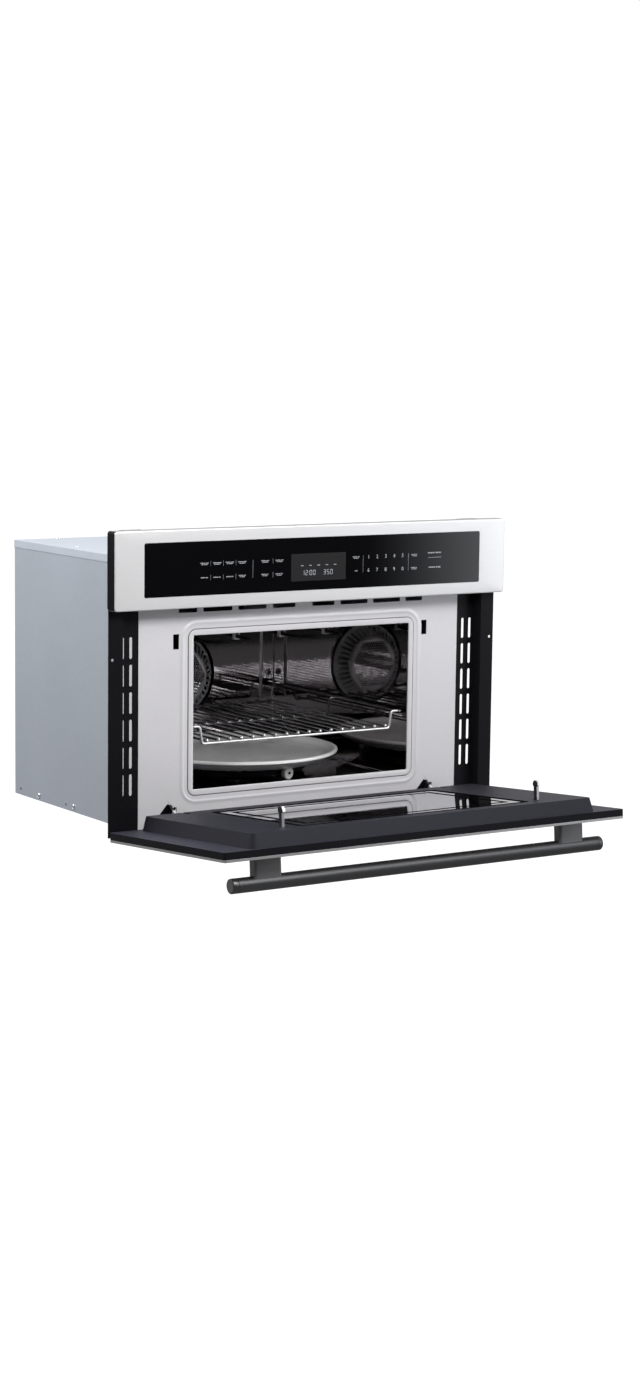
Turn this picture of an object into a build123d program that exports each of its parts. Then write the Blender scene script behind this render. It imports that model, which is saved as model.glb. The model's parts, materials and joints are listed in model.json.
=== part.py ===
from build123d import *
import os
from math import sqrt

# Built-in convection microwave with a drop-down door, drawn with the door open.
# Millimetres: X to the right, Y to the back, Z up, origin in the middle under the base pan.

# Cabinet of folded sheet
cabinet_depth = 444.0
cabinet_height = 442.0
sheet = 1.0
lid_lip = 13.0
pan_flange = 20.0
panel_fold = 14.0

# Front plate behind the door
plate_lap = 4.0
rim_step = 0.4
rim_steps = ((20.0, 26.0), (9.0, 13.0))

# Side trim that laps the kitchen cabinet
trim_sheet = 1.5
trim_reach = 70.5
trim_inset = 2.5
trim_slant = 5.0
trim_strip = 26.0
trim_leg = 15.0
trim_bottom = 2.0
trim_slot_length = 35.0
trim_slot_width = 5.5
trim_slot_rows = 6
trim_slot_pitch = 44.1
trim_slot_columns = 2
trim_slot_column = 14.8
trim_slot_inset = 12.4
trim_slot_z = 191.4
trim_screw_z = 286.7
trim_screw_inset = 7.3
trim_screw_radius = 2.5

# Control panel
front_width = 757.0
panel_bottom = 365.4
panel_height = 125.5
panel_projection = 42.6
panel_depth = 24.6
panel_radius = 5.0
fascia_sheet = 1.2
end_cap_wall = 3.0
end_cap_tab = 17.5
glass_side = 53.0
glass_border = 19.75
glass_thick = 3.0
glass_radius = 3.0
glass_proud = 0.3
glass_gap = 0.3
touch_margin = 15.0
carrier_wall = 2.7
carrier_margin = 12.0
display_width = 108.0
display_height = 46.0
display_depth = 10.0
display_drop = 6.0
board_width = 300.0
board_height = 84.0
board_thick = 1.6
relay_size = (18.0, 5.0, 14.0)
relay_x = (-110.0, -85.0, -60.0)
chip_size = (48.0, 6.0, 40.0)
chip_x = 100.0

# Cooking cavity
cavity_rear_gap = 12.6
cavity_floor_z = 50.0
cavity_height = 268.0
cavity_sheet = 1.0
weld_flange = 11.0
opening_bottom = 64.5
opening_height = 251.8
opening_radius = 6.0

# Convection fan in the rear wall
fan_x = 5.0
fan_z = 190.0
cover_flange = 80.0
cover_base = 72.0
cover_top = 48.0
cover_rise = 24.0
cover_slots = 40
cover_slot_width = 3.6
cover_slot_margin = 4.0
cover_holes_across = 6
cover_hole_pitch = 6.2
cover_hole_radius = 2.1
wall_hole = 66.0
housing_radius = 95.0
housing_depth = 11.5
fan_radius = 43.0
fan_depth = 14.0
fan_blades = 10
fan_hub = 12.0
fan_wall_gap = 2.0
blade_thick = 1.2
shaft_radius = 3.0
running_gap = 0.05
shaft_hole_gap = 1.5
shaft_end_gap = 1.0
heater_radius = 78.0
heater_tube = 3.2
heater_sleeve = 4.2
heater_gap = 40.0
motor_radius = 33.0
motor_length = 34.0
motor_can = 19.8
motor_stack = 15.3
motor_corner = 6.6
motor_strap = (92.4, 2.0, 16.5)
motor_wall = 4.0
motor_window = 58.0
motor_cover_size = 190.0
motor_cover_depth = 42.0
motor_cover_flange = 12.0
motor_cover_radius = 20.0
motor_cover_draft = 6.0
motor_vent_columns = 8
motor_vent_row = 56.0

# Grill element under the ceiling
grill_tube = 3.2
grill_drop = 26.0
grill_spacing = 90.0
grill_front = 70.0
grill_bend = 32.4
grill_legs = 4
clip_width = 8.0
clip_sheet = 2.0
clip_front = 140.0

# Rack and its rails
rail_ledge = 12.0
rail_height = 14.0
rail_sheet = 1.2
rail_top_z = 161.1
rail_end_gap = 6.0
rack_seat_gap = 0.3
rack_rod = 3.0
rack_cross = 2.7
rack_cross_inset = 6.0
rack_wire = 1.8
rack_wires = 17
rack_wire_inset = 9.0
rack_side_gap = 26.0
rack_slope = 6.0
rack_hang_inset = 7.2
rack_drop = 28.8
rack_front_gap = 8.5
rack_rear_gap = 6.0
rack_bend = 7.0
rack_weld = 0.6

# Turntable and its roller ring
tray_side_gap = 33.5
tray_rim_z = 88.6
tray_thick = 5.0
tray_rim = 8.0
tray_rim_under = 2.4
tray_rim_bevel = 1.6
tray_slope = 29.5
tray_gap = 0.2
roller_radius = 10.5
roller_width = 9.0
roller_inset = 18.0
roller_axle = 2.0
roller_start = -78.0
roller_turn = 120.0
roller_chamfer = 1.0
axle_end = 2.0
ring_width = 6.0
ring_height = 7.0
ring_inset = 12.0
hub_inner = 20.0
coupler_radius = 14.0
coupler_shaft = 3.5
coupler_foot = 2.0
coupler_core = 7.7
lobe_width = 7.0
lug_depth = 6.0
lug_radius = 3.0
lug_circle = 11.9
turn_motor_radius = 25.0
turn_motor_height = 15.0
turn_motor_wall = 4.0
ear_reach = 9.0
ear_width = 10.0
ear_thick = 2.0

# Door, drawn closed and then swung open
door_height = 354.6
door_bottom = 4.5
door_thick = 15.4
door_recess = 3.0
door_skin_sheet = 1.0
door_lip = 3.0
door_radius = 4.0
raised_side = 60.5
raised_bottom = 8.0
raised_height = 340.0
raised_depth = 22.5
raised_draft = 15.0
raised_radius = 14.0
raised_wall = 2.5
window_lap = 9.0
window_bottom = 44.0
window_height = 272.0
window_radius = 10.0
pane_lap = 8.0
pane_thick = 2.0
outer_window_margin = 15.0
outer_glass_thick = 3.0
screen_sheet = 0.8
screen_lap = 16.0
door_open_angle = 85.48

# Door hinges
hinge_forward = 29.58
hinge_z = 7.8
hinge_pin = 3.0
hinge_out = 42.0
hinge_arm = 5.0
hinge_side_gap = 0.3
knuckle_radius = 6.0
knuckle_length = 13.7
hinge_tip_z = 29.0
hinge_clearance = 0.8
hinge_back = 70.0
hinge_foot = 20.0
hinge_foot_sheet = 2.0
hinge_slot_width = 24.0
hinge_slot_shift = 3.0
hinge_slot_top = 43.0

# Latch hooks and their brackets
latch_out = 32.0
latch_l = 299.5
hook_thick = 5.0
hook_height = 8.0
hook_nose = 4.5
hook_nose_length = 8.0
hook_tip = 53.8
hook_pivot = 11.0
hook_boss = 6.0
hook_trunnion = 2.0
hook_cheek = 3.5
hook_side_gap = 0.3
latch_slot_width = 11.0
latch_slot_low = 9.0
latch_slot_high = 15.5
bracket_wall = 6.0
bracket_depth = 45.0
switch_size = (10.0, 28.0, 14.0)
switch_pitch = 16.8

# Handle
handle_radius = 11.75
handle_inset = 27.0
handle_chamfer = 1.5
handle_stand = 40.5
handle_l = 322.0
post_inset = 90.0
post_width = 49.4
post_height = 18.0
post_radius = 5.4
post_seat_gap = 0.02

# Power parts round the cavity
guide_side_gap = 21.0
guide_length = 180.0
guide_width = 100.0
guide_height = 40.0
guide_clip_gap = 8.0
guide_sheet = 1.0
feed_length = 80.0
mica_thick = 0.8
mica_margin = 6.0
magnetron_height = 78.0
magnetron_size = 80.0
magnetron_barrel = 18.0
magnetron_base = 2.0
magnetron_fins = 6
fin_size = 72.0
fin_thick = 1.0
filter_size = 64.0
filter_height = 20.0
core_size = (84.0, 108.0, 88.0)
core_window = (26.0, 44.0)
coil_swell = 7.0
coil_height = 41.4
side_gap = 5.0
core_gap = 4.0
core_y = 60.0
can_size = (32.0, 56.0, 92.0)
can_y = -60.0
terminal_size = (1.0, 6.0, 8.0)
blower_size = 92.0
blower_depth = 26.0
blower_bore = 42.0
blower_gap = 18.0
blower_lift = 11.0
blower_radius = 38.0
blower_blades = 5
blower_hub = 13.0
blower_hub_lap = 2.6
rotor_front = 4.3
rotor_depth = 13.0
blower_motor = 40.0
blower_motor_depth = 28.0
blower_motor_bore = 23.8
blower_strut = 5.0
blower_shaft = 2.5
vane_pitch = 30.0
vane_chord = 18.0
vane_thick = 1.5
lamp_y = -110.0
lamp_size = (34.0, 36.0, 36.0)
lamp_holes = 3
lamp_hole_radius = 3.0
lamp_hole_pitch = 9.0
lamp_wall = 2.0
bulb_stem = 6.0
bulb_radius = 7.0
bulb_gap = 12.0

# Cord entry, vents and screws
gland_inset = 58.0
gland_z = 60.0
gland_radius = 9.0
gland_bore = 4.5
gland_flange = 13.0
gland_lip = 3.0
vent_length = 40.0
vent_width = 5.0
vent_pitch = 12.0
base_vent_columns = 12
base_vent_rows = 2
base_vent_row = 60.0
rear_vent_columns = 14
rear_vent_drop = 60.0
front_vent_spans = ((0.078, 0.286), (0.344, 0.599), (0.654, 0.913), (0.966, 1.130))
front_vent_height = 17.5
front_vent_z = 362.2
front_vent_radius = 2.0
low_vents = 8
low_vent_z = 24.0
low_vent_length = 46.0
low_vent_height = 6.0
low_vent_margin = 1.0
screw_radius = 4.5
screw_height = 2.0
screw_z = 9.0
side_screw_y = (5.0, 131.0)
lid_screws = ((75.0, 204.0), (26.0, 42.0))

# Places that follow from the sizes above
cabinet_width = front_width - 2 * trim_reach
half_width = cabinet_width / 2
plate_width = cabinet_width + 2 * plate_lap
inner_half = half_width - sheet
plate_front = -cabinet_depth / 2
plate_back = plate_front + sheet
rear_back = cabinet_depth / 2
rear_front = rear_back - sheet
lid_under = cabinet_height - sheet
panel_front = plate_front - panel_projection
panel_back = panel_front + panel_depth
panel_mid = panel_bottom + panel_height / 2
panel_half = front_width / 2
glass_width = front_width - 2 * glass_side
glass_height = panel_height - 2 * glass_border
display_mid = panel_mid - display_drop
glass_back = panel_front - glass_proud + glass_thick
touch_back = glass_back + board_thick
side_space = sheet + core_size[0] + coil_swell + core_gap + cavity_sheet
cavity_width = cabinet_width - 2 * side_space
cavity_half = cavity_width / 2
cavity_depth = cabinet_depth - 2 * sheet - cavity_sheet - cavity_rear_gap
cavity_rear = plate_back + cavity_depth
cavity_top = cavity_floor_z + cavity_height
cavity_mid_y = plate_back + cavity_depth / 2
rack_depth = cavity_depth - rack_front_gap - cover_rise - rack_rear_gap
rack_width = cavity_width - 2 * rack_side_gap
opening_top = opening_bottom + opening_height
trim_outer = panel_half - trim_inset
trim_flat = trim_reach - trim_inset - trim_strip - trim_slant
low_vent_pitch = (cavity_width - 2 * low_vent_margin) / (low_vents - 1)
tray_radius = cavity_half - tray_side_gap
tray_flat = tray_radius - tray_slope
roller_circle = tray_flat - roller_inset
tray_under = cavity_floor_z + 2 * roller_radius + tray_gap
axle_z = cavity_floor_z + roller_radius
hinge_x = cavity_half + hinge_out
hinge_y = plate_front - hinge_forward
hinge_crest = hinge_slot_top - hinge_clearance
hinge_reach = sqrt(hinge_forward**2 + (hinge_crest - hinge_z) ** 2)
door_front = panel_front + door_recess
door_back = door_front + door_thick
raised_width = front_width - 2 * raised_side
raised_face = door_back + raised_depth
raised_mid = door_bottom + raised_bottom + raised_height / 2
window_width = cavity_width + 2 * window_lap
window_mid = door_bottom + window_bottom + window_height / 2
latch_x = cavity_half + latch_out
latch_z = door_bottom + latch_l
handle_length = front_width - 2 * handle_inset
post_x = panel_half - post_inset
clip_rear_y = cavity_rear - grill_front - grill_bend - clip_width
guide_y = clip_rear_y - clip_width / 2 - guide_clip_gap - guide_width / 2
guide_left = cavity_half - guide_side_gap - guide_length
guide_low = cavity_top + cavity_sheet
guide_top = guide_low + guide_height
magnetron_x = guide_left + magnetron_size / 2
blower_z = guide_low + blower_lift + blower_size / 2
gland_x = gland_inset - half_width
back_plane = Plane(origin=(0, 0, 0), x_dir=(-1, 0, 0), z_dir=(0, 1, 0))


def block(x0, x1, y0, y1, z0, z1):
    """A box between two corners."""
    middle = Pos((x0 + x1) / 2, (y0 + y1) / 2, (z0 + z1) / 2)
    return middle * Box(x1 - x0, y1 - y0, z1 - z0)


def rod_x(x0, x1, y, z, radius):
    """A round bar along X."""
    return Pos((x0 + x1) / 2, y, z) * Rot(0, 90, 0) * Cylinder(radius, x1 - x0)


def rod_y(y0, y1, x, z, radius):
    """A round bar along Y."""
    return Pos(x, (y0 + y1) / 2, z) * Rot(90, 0, 0) * Cylinder(radius, y1 - y0)


def rod_z(z0, z1, x, y, radius):
    """A round bar along Z."""
    return Pos(x, y, (z0 + z1) / 2) * Cylinder(radius, z1 - z0)


def panel_xz(sketch, y0, y1):
    """A sketch in X and Z, given thickness along Y."""
    return extrude(Pos(0, y1, 0) * (Plane.XZ * sketch), amount=y1 - y0)


def panel_yz(sketch, x0, x1):
    """A sketch in Y and Z, given thickness along X."""
    return extrude(Pos(x0, 0, 0) * (Plane.YZ * sketch), amount=x1 - x0)


def tapered(width, height, radius, z, y0, y1, draft):
    """A rounded rectangle about X = 0 that narrows towards the back."""
    outline = Pos(0, z) * RectangleRounded(width, height, radius)
    return extrude(Pos(0, y0, 0) * (back_plane * outline), amount=y1 - y0, taper=draft)


def span(low, high, first, last):
    """A flat rectangle between two corners of a sketch."""
    return Pos((low + high) / 2, (first + last) / 2) * Rectangle(high - low, last - first)


def pair(shape):
    """A right-hand piece and its mirror image on the left."""
    return [shape, mirror(shape, about=Plane.YZ)]


def slot_field(columns, rows, pitch, row_pitch, length, width):
    """Upright slots on a grid, as a sketch about its middle."""
    places = GridLocations(pitch, row_pitch, columns, rows)
    return Sketch() + [place * Rot(0, 0, 90) * SlotOverall(length, width) for place in places]


# Cabinet
def base_pan():
    pan = block(-inner_half, inner_half, plate_back, rear_front, 0, sheet)
    flange = block(
        inner_half - sheet, inner_half, plate_back + sheet, rear_front - sheet, sheet, pan_flange
    )
    for side in pair(flange):
        pan += side
    vents = slot_field(base_vent_columns, base_vent_rows, vent_pitch, base_vent_row, vent_length, vent_width)
    return pan - extrude(Pos(0, cabinet_depth / 4) * vents, amount=sheet)


def side_panel():
    panel = block(inner_half, half_width, plate_back, rear_back, 0, lid_under)
    for y in (plate_back, rear_front - sheet):
        panel += block(inner_half - panel_fold, inner_half, y, y + sheet, sheet, lid_under)
    return panel


def top_cover():
    lip_front = plate_back + trim_leg
    lid = block(-half_width, half_width, plate_front, lip_front, lid_under, cabinet_height)
    wide = half_width + sheet
    lid += block(-wide, wide, lip_front, rear_back, lid_under, cabinet_height)
    lip = block(half_width, wide, lip_front, rear_back, cabinet_height - lid_lip, lid_under)
    for side in pair(lip):
        lid += side
    return lid


def rear_panel():
    panel = block(-inner_half, inner_half, rear_front, rear_back, 0, lid_under)
    cuts = Pos(fan_x, fan_z) * Circle(motor_window)
    cuts += Pos(gland_x, gland_z) * Circle(gland_radius)
    vent_z = lid_under - rear_vent_drop
    vents = slot_field(rear_vent_columns, 1, vent_pitch, vent_length, vent_length, vent_width)
    for x in (-cabinet_width / 4, cabinet_width / 4):
        cuts += Pos(x, vent_z) * vents
    return panel - panel_xz(cuts, rear_front, rear_back)


def rear_motor_cover():
    flange_size = motor_cover_size + 2 * motor_cover_flange
    back = rear_back + motor_cover_depth
    inner = motor_cover_size - 2 * sheet
    inner_radius = motor_cover_radius - sheet
    draft = motor_cover_draft
    size = motor_cover_size
    cover = tapered(flange_size, flange_size, motor_cover_radius, fan_z, rear_back, rear_back + sheet, 0)
    cover += tapered(size, size, motor_cover_radius, fan_z, rear_back, back, draft)
    cover -= tapered(inner, inner, inner_radius, fan_z, rear_back, back - sheet, draft)
    vents = slot_field(motor_vent_columns, 2, vent_pitch, motor_vent_row, vent_length, vent_width)
    cover -= panel_xz(Pos(0, fan_z) * vents, back - 2 * sheet, back + sheet)
    return Pos(fan_x, 0, 0) * cover


def opening_outline(grow_x, grow_z, radius):
    """The cavity's mouth, grown evenly to each side."""
    mid = (opening_bottom + opening_top) / 2
    width = cavity_width + 2 * grow_x
    return Pos(0, mid) * RectangleRounded(width, opening_height + 2 * grow_z, radius)


def front_plate():
    outline = Pos(0, lid_under / 2) * Rectangle(plate_width, lid_under)
    plate = panel_xz(outline, plate_front, plate_back)
    for level, (grow, radius) in enumerate(rim_steps, start=1):
        rim = opening_outline(grow, grow, radius)
        plate += panel_xz(rim, plate_front - rim_step * level, plate_front)
    cuts = opening_outline(0, 0, opening_radius)
    for side in (-1, 1):
        latch_low = latch_z - latch_slot_low
        latch_high = latch_z + latch_slot_high
        at = side * latch_x
        cuts += span(at - latch_slot_width / 2, at + latch_slot_width / 2, latch_low, latch_high)
        at = side * (hinge_x + hinge_slot_shift)
        low = hinge_z - knuckle_radius - hinge_side_gap
        cuts += span(at - hinge_slot_width / 2, at + hinge_slot_width / 2, low, hinge_slot_top)
        for first, last in front_vent_spans:
            width = (last - first) * cavity_half
            middle = side * (first + last) / 2 * cavity_half
            cuts += Pos(middle, front_vent_z) * RectangleRounded(width, front_vent_height, front_vent_radius)
    for column in range(low_vents):
        x = (column - (low_vents - 1) / 2) * low_vent_pitch
        cuts += Pos(x, low_vent_z) * SlotOverall(low_vent_length, low_vent_height)
    return plate - panel_xz(cuts, plate_front - 3 * rim_step, plate_back)


def trim_flange():
    strip_front = panel_back
    wall = trim_sheet * sqrt(1 + (trim_slant / (plate_back - strip_front)) ** 2)
    flat_end = half_width + trim_flat
    strip_start = flat_end + trim_slant
    outline = Polyline(
        (half_width, plate_back),
        (flat_end, plate_back),
        (strip_start, strip_front),
        (trim_outer, strip_front),
        (trim_outer, strip_front + trim_sheet),
        (strip_start + wall, strip_front + trim_sheet),
        (flat_end + wall, plate_back + trim_sheet),
        (half_width, plate_back + trim_sheet),
        close=True,
    )
    top = panel_bottom + panel_height - fascia_sheet
    flange = extrude(Pos(0, 0, trim_bottom) * make_face(outline), amount=top - trim_bottom)
    flange += block(
        half_width,
        half_width + trim_sheet,
        plate_back + trim_sheet,
        plate_back + trim_leg,
        trim_bottom,
        cabinet_height - lid_lip,
    )
    grid = (trim_slot_columns, trim_slot_rows, trim_slot_column, trim_slot_pitch)
    slots = slot_field(*grid, trim_slot_length, trim_slot_width)
    slot_x = flat_end - trim_slot_inset
    flange -= panel_xz(Pos(slot_x, trim_slot_z) * slots, plate_back, plate_back + trim_sheet)
    hole = Pos(trim_outer - trim_screw_inset, trim_screw_z) * Circle(trim_screw_radius)
    return flange - panel_xz(hole, strip_front, strip_front + trim_sheet)


# Control panel
def control_fascia():
    face = Pos(0, panel_mid) * RectangleRounded(front_width, panel_height, panel_radius)
    hole_width = glass_width + 2 * glass_gap
    hole_height = glass_height + 2 * glass_gap
    face -= Pos(0, panel_mid) * RectangleRounded(hole_width, hole_height, glass_radius + glass_gap)
    fascia = panel_xz(face, panel_front, panel_front + fascia_sheet)
    reach = panel_half - end_cap_wall
    top = panel_bottom + panel_height
    for z in (panel_bottom, top - fascia_sheet):
        fascia += block(-reach, reach, panel_front + fascia_sheet, panel_back, z, z + fascia_sheet)
    return fascia


def end_cap():
    outline = Pos(0, panel_mid) * RectangleRounded(front_width, panel_height, panel_radius)
    keep = span(panel_half - end_cap_wall, panel_half, panel_bottom, panel_bottom + panel_height)
    cap = panel_xz(outline & keep, panel_front + fascia_sheet, panel_back)
    cap += block(
        panel_half - end_cap_tab,
        panel_half - end_cap_wall,
        panel_back - end_cap_wall,
        panel_back,
        panel_bottom + fascia_sheet,
        panel_bottom + panel_height - fascia_sheet,
    )
    return cap


def control_glass():
    face = Pos(0, panel_mid) * RectangleRounded(glass_width, glass_height, glass_radius)
    return panel_xz(face, panel_front - glass_proud, glass_back)


def panel_carrier():
    """Plastic tray behind the glass, with its touch board as a second solid."""
    width = glass_width + 2 * carrier_margin
    height = glass_height + 2 * carrier_margin
    back = touch_back + carrier_wall
    tray = panel_xz(Pos(0, panel_mid) * Rectangle(width, height), panel_front + fascia_sheet, back)
    pocket = Rectangle(glass_width + 2 * glass_gap, glass_height + 2 * glass_gap)
    tray -= panel_xz(Pos(0, panel_mid) * pocket, panel_front, touch_back)
    window = Rectangle(display_width + 2 * glass_gap, display_height + 2 * glass_gap)
    tray -= panel_xz(Pos(0, display_mid) * window, touch_back, back)
    touch = Rectangle(glass_width - 2 * touch_margin, glass_height - 2 * touch_margin)
    return [tray, panel_xz(Pos(0, panel_mid) * touch, glass_back, touch_back)]


def display_module():
    face = Pos(0, display_mid) * Rectangle(display_width, display_height)
    return panel_xz(face, touch_back, touch_back + display_depth)


def control_board():
    front = touch_back + display_depth
    back = front + board_thick
    board = panel_xz(Pos(0, panel_mid) * Rectangle(board_width, board_height), front, back)
    for x in relay_x:
        board += Pos(x, back + relay_size[1] / 2, panel_mid) * Box(*relay_size)
    return board + Pos(chip_x, back + chip_size[1] / 2, panel_mid) * Box(*chip_size)


def panel_back_cover():
    reach = half_width + trim_flat + trim_slant - glass_gap
    top = panel_bottom + panel_height
    return block(-reach, reach, panel_back, panel_back + sheet, panel_bottom, top)


# Cooking cavity
def cavity_floor():
    wide = cavity_half + cavity_sheet
    low = cavity_floor_z - cavity_sheet
    floor = block(-wide, wide, plate_back, cavity_rear + cavity_sheet, low, cavity_floor_z)
    floor += block(-wide, wide, plate_back, plate_back + cavity_sheet, low - weld_flange, low)
    return floor - rod_z(low, cavity_floor_z, 0, cavity_mid_y, coupler_shaft + shaft_hole_gap)


def cavity_ceiling():
    wide = cavity_half + cavity_sheet
    top = cavity_top + cavity_sheet
    ceiling = block(-wide, wide, plate_back, cavity_rear + cavity_sheet, cavity_top, top)
    ceiling += block(-wide, wide, plate_back, plate_back + cavity_sheet, top, top + weld_flange)
    return ceiling - feed_mouth(cavity_top, top)


def cavity_side():
    outer = cavity_half + cavity_sheet
    end = cavity_rear + cavity_sheet
    wall = block(cavity_half, outer, plate_back, end, cavity_floor_z, cavity_top)
    flange_end = plate_back + cavity_sheet
    return wall + block(outer, outer + weld_flange, plate_back, flange_end, cavity_floor_z, cavity_top)


def cavity_left_wall():
    wall = mirror(cavity_side(), about=Plane.YZ)
    grid = GridLocations(lamp_hole_pitch, lamp_hole_pitch, lamp_holes, lamp_holes)
    holes = Sketch() + [place * Circle(lamp_hole_radius) for place in grid]
    outer = cavity_half + cavity_sheet
    return wall - panel_yz(Pos(lamp_y, lamp_mid()) * holes, -outer, -cavity_half)


def cavity_rear_wall():
    back = cavity_rear + cavity_sheet
    wall = block(-cavity_half, cavity_half, cavity_rear, back, cavity_floor_z, cavity_top)
    return wall - panel_xz(Pos(fan_x, fan_z) * Circle(wall_hole), cavity_rear, back)


# Convection fan
def at_fan(shape):
    """Moves a piece drawn about the Y axis to the fan's centre."""
    return Pos(fan_x, 0, fan_z) * shape


def convection_cover():
    front = cavity_rear - cover_rise
    outline = Polyline(
        (0, front),
        (cover_top, front),
        (cover_base, cavity_rear - cavity_sheet),
        (cover_flange, cavity_rear - cavity_sheet),
        (cover_flange, cavity_rear),
        (cover_base - cavity_sheet, cavity_rear),
        (cover_top - cavity_sheet, front + cavity_sheet),
        (0, front + cavity_sheet),
        close=True,
    )
    cover = revolve(make_face(outline), Axis.Y)
    inner = cover_top + cover_slot_margin
    outer = cover_base - cover_slot_margin
    half = cover_slot_width / 2
    slot = block(inner, outer, front, cavity_rear, -half, half)
    for index in range(cover_slots):
        cover -= Rot(0, 360 * index / cover_slots, 0) * slot
    holes = Sketch()
    reach = range(-cover_holes_across, cover_holes_across + 1)
    for column in reach:
        for row in reach:
            if abs(column + row) <= cover_holes_across:
                x = cover_hole_pitch * (column + row / 2)
                holes += Pos(x, cover_hole_pitch * row * sqrt(3) / 2) * Circle(cover_hole_radius)
    return at_fan(cover - panel_xz(holes, front, front + cavity_sheet))


def convection_housing():
    front = cavity_rear + cavity_sheet
    back = front + housing_depth
    pan = rod_y(front, back, 0, 0, housing_radius)
    pan -= rod_y(front, back - cavity_sheet, 0, 0, housing_radius - cavity_sheet)
    return at_fan(pan - rod_y(back - cavity_sheet, back, 0, 0, shaft_radius + shaft_hole_gap))


def convection_heater():
    """An open ring of tube whose two ends turn back to the housing in sleeves."""
    front = cavity_rear + cavity_sheet
    back = front + housing_depth - cavity_sheet
    middle = (front + back) / 2
    arc = CenterArc((0, 0), heater_radius, heater_gap / 2 - 90, 360 - heater_gap)
    path = Pos(0, middle, 0) * (Plane.XZ * arc)
    ring = sweep(Plane(path @ 0, z_dir=path % 0) * Circle(heater_tube), path)
    for end in (path @ 0, path @ 1):
        ring += rod_y(middle - heater_sleeve, back, end.X, end.Z, heater_sleeve)
    return at_fan(ring)


def convection_motor():
    front = cavity_rear + cavity_sheet + housing_depth
    back = front + motor_length
    middle = (front + back) / 2
    motor = rod_y(front, back, 0, 0, motor_can)
    stack = Pos(0, middle, 0) * Box(2 * motor_radius, motor_stack, 2 * motor_radius)
    motor += fillet(stack.edges().filter_by(Axis.Y), motor_corner)
    motor += Pos(0, front + motor_strap[1] / 2, 0) * Box(*motor_strap)
    return at_fan(motor - rod_y(front, back - motor_wall, 0, 0, shaft_radius + running_gap))


def convection_fan():
    back = cavity_rear - fan_wall_gap
    front = back - fan_depth
    half = blade_thick / 2
    plate = rod_y(back - blade_thick, back, 0, 0, fan_radius)
    plate += rod_y(front, back, 0, 0, fan_hub)
    blade = block(fan_hub - blade_thick, fan_radius, front, back - blade_thick, -half, half)
    for index in range(fan_blades):
        plate += Rot(0, 360 * index / fan_blades, 0) * blade
    motor_end = cavity_rear + cavity_sheet + housing_depth + motor_length - motor_wall
    return at_fan(plate + rod_y(back, motor_end - shaft_end_gap, 0, 0, shaft_radius))


# Grill
def grill_z():
    return cavity_top - grill_drop


def grill_leg_x():
    return [grill_spacing * (leg - (grill_legs - 1) / 2) for leg in range(grill_legs)]


def grill_path():
    """The tube runs from the rear wall in four legs joined by bends."""
    front = plate_back + grill_front
    rear = cavity_rear - grill_front
    x = grill_leg_x()
    z = grill_z()
    return FilletPolyline(
        (x[0], cavity_rear, z),
        (x[0], front, z),
        (x[1], front, z),
        (x[1], rear, z),
        (x[2], rear, z),
        (x[2], front, z),
        (x[3], front, z),
        (x[3], cavity_rear, z),
        radius=grill_bend,
    )


def grill_element():
    path = grill_path()
    return sweep(Plane(path @ 0, z_dir=path % 0) * Circle(grill_tube), path)


def grill_clips():
    """Straps from the ceiling, each under one leg of the tube."""
    clips = []
    low = grill_z() - grill_tube - clip_sheet
    half = grill_tube + clip_sheet
    slot = grill_tube + running_gap
    for x in grill_leg_x():
        for y in (plate_back + clip_front, clip_rear_y):
            front = y - clip_width / 2
            back = y + clip_width / 2
            strap = block(x - half, x + half, front, back, low, cavity_top)
            strap -= rod_y(front, back, x, grill_z(), slot)
            strap -= block(x - slot, x + slot, front, back, grill_z(), cavity_top - clip_sheet)
            clips.append(strap)
    return clips


# Rack
def rack_rail():
    low = rail_top_z - rail_height
    start = plate_back + rail_end_gap
    end = cavity_rear - rail_end_gap
    rail = block(cavity_half - rail_sheet, cavity_half, start, end, low, rail_top_z)
    inner = cavity_half - rail_ledge
    return rail + block(inner, cavity_half - rail_sheet, start, end, rail_top_z - rail_sheet, rail_top_z)


def wire_rack():
    """Two hanging rods, three dropped cross rods and the wires welded on them."""
    rod_level = rail_top_z + rack_seat_gap + rack_rod
    low = rod_level - rack_drop
    hang = cavity_half - rack_hang_inset
    shoulder = rack_width / 2 + rack_slope
    front = plate_back + rack_front_gap
    rack = Part()
    for side in (-1, 1):
        rack += rod_y(front, front + rack_depth, side * hang, rod_level, rack_rod)
    for share in (0, 0.5, 1):
        y = front + rack_cross_inset + share * (rack_depth - 2 * rack_cross_inset)
        path = FilletPolyline(
            (-hang, y, rod_level),
            (-shoulder, y, rod_level),
            (-rack_width / 2, y, low),
            (rack_width / 2, y, low),
            (shoulder, y, rod_level),
            (hang, y, rod_level),
            radius=rack_bend,
        )
        rack += sweep(Plane(path @ 0, z_dir=path % 0) * Circle(rack_cross), path)
    wire_z = low + rack_cross + rack_wire - rack_weld
    pitch = (rack_width - 2 * rack_wire_inset) / (rack_wires - 1)
    for index in range(rack_wires):
        x = (index - (rack_wires - 1) / 2) * pitch
        rack += rod_y(front, front + rack_depth, x, wire_z, rack_wire)
    return rack


# Power parts
def feed_mouth(low, high):
    """The opening through which the waveguide feeds the cavity."""
    right = guide_left + guide_length - mica_margin
    half = guide_width / 2 - mica_margin
    return block(right - feed_length, right, guide_y - half, guide_y + half, low, high)


def waveguide():
    half = guide_width / 2
    right = guide_left + guide_length
    guide = block(guide_left, right, guide_y - half, guide_y + half, guide_low, guide_top)
    hollow = half - guide_sheet
    guide -= block(
        guide_left + guide_sheet,
        right - guide_sheet,
        guide_y - hollow,
        guide_y + hollow,
        guide_low + guide_sheet,
        guide_top - guide_sheet,
    )
    return guide - feed_mouth(guide_low, guide_low + guide_sheet)


def waveguide_cover():
    right = guide_left + guide_length
    left = right - feed_length - 2 * mica_margin
    half = guide_width / 2
    return block(left, right, guide_y - half, guide_y + half, cavity_top - mica_thick, cavity_top)


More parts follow.
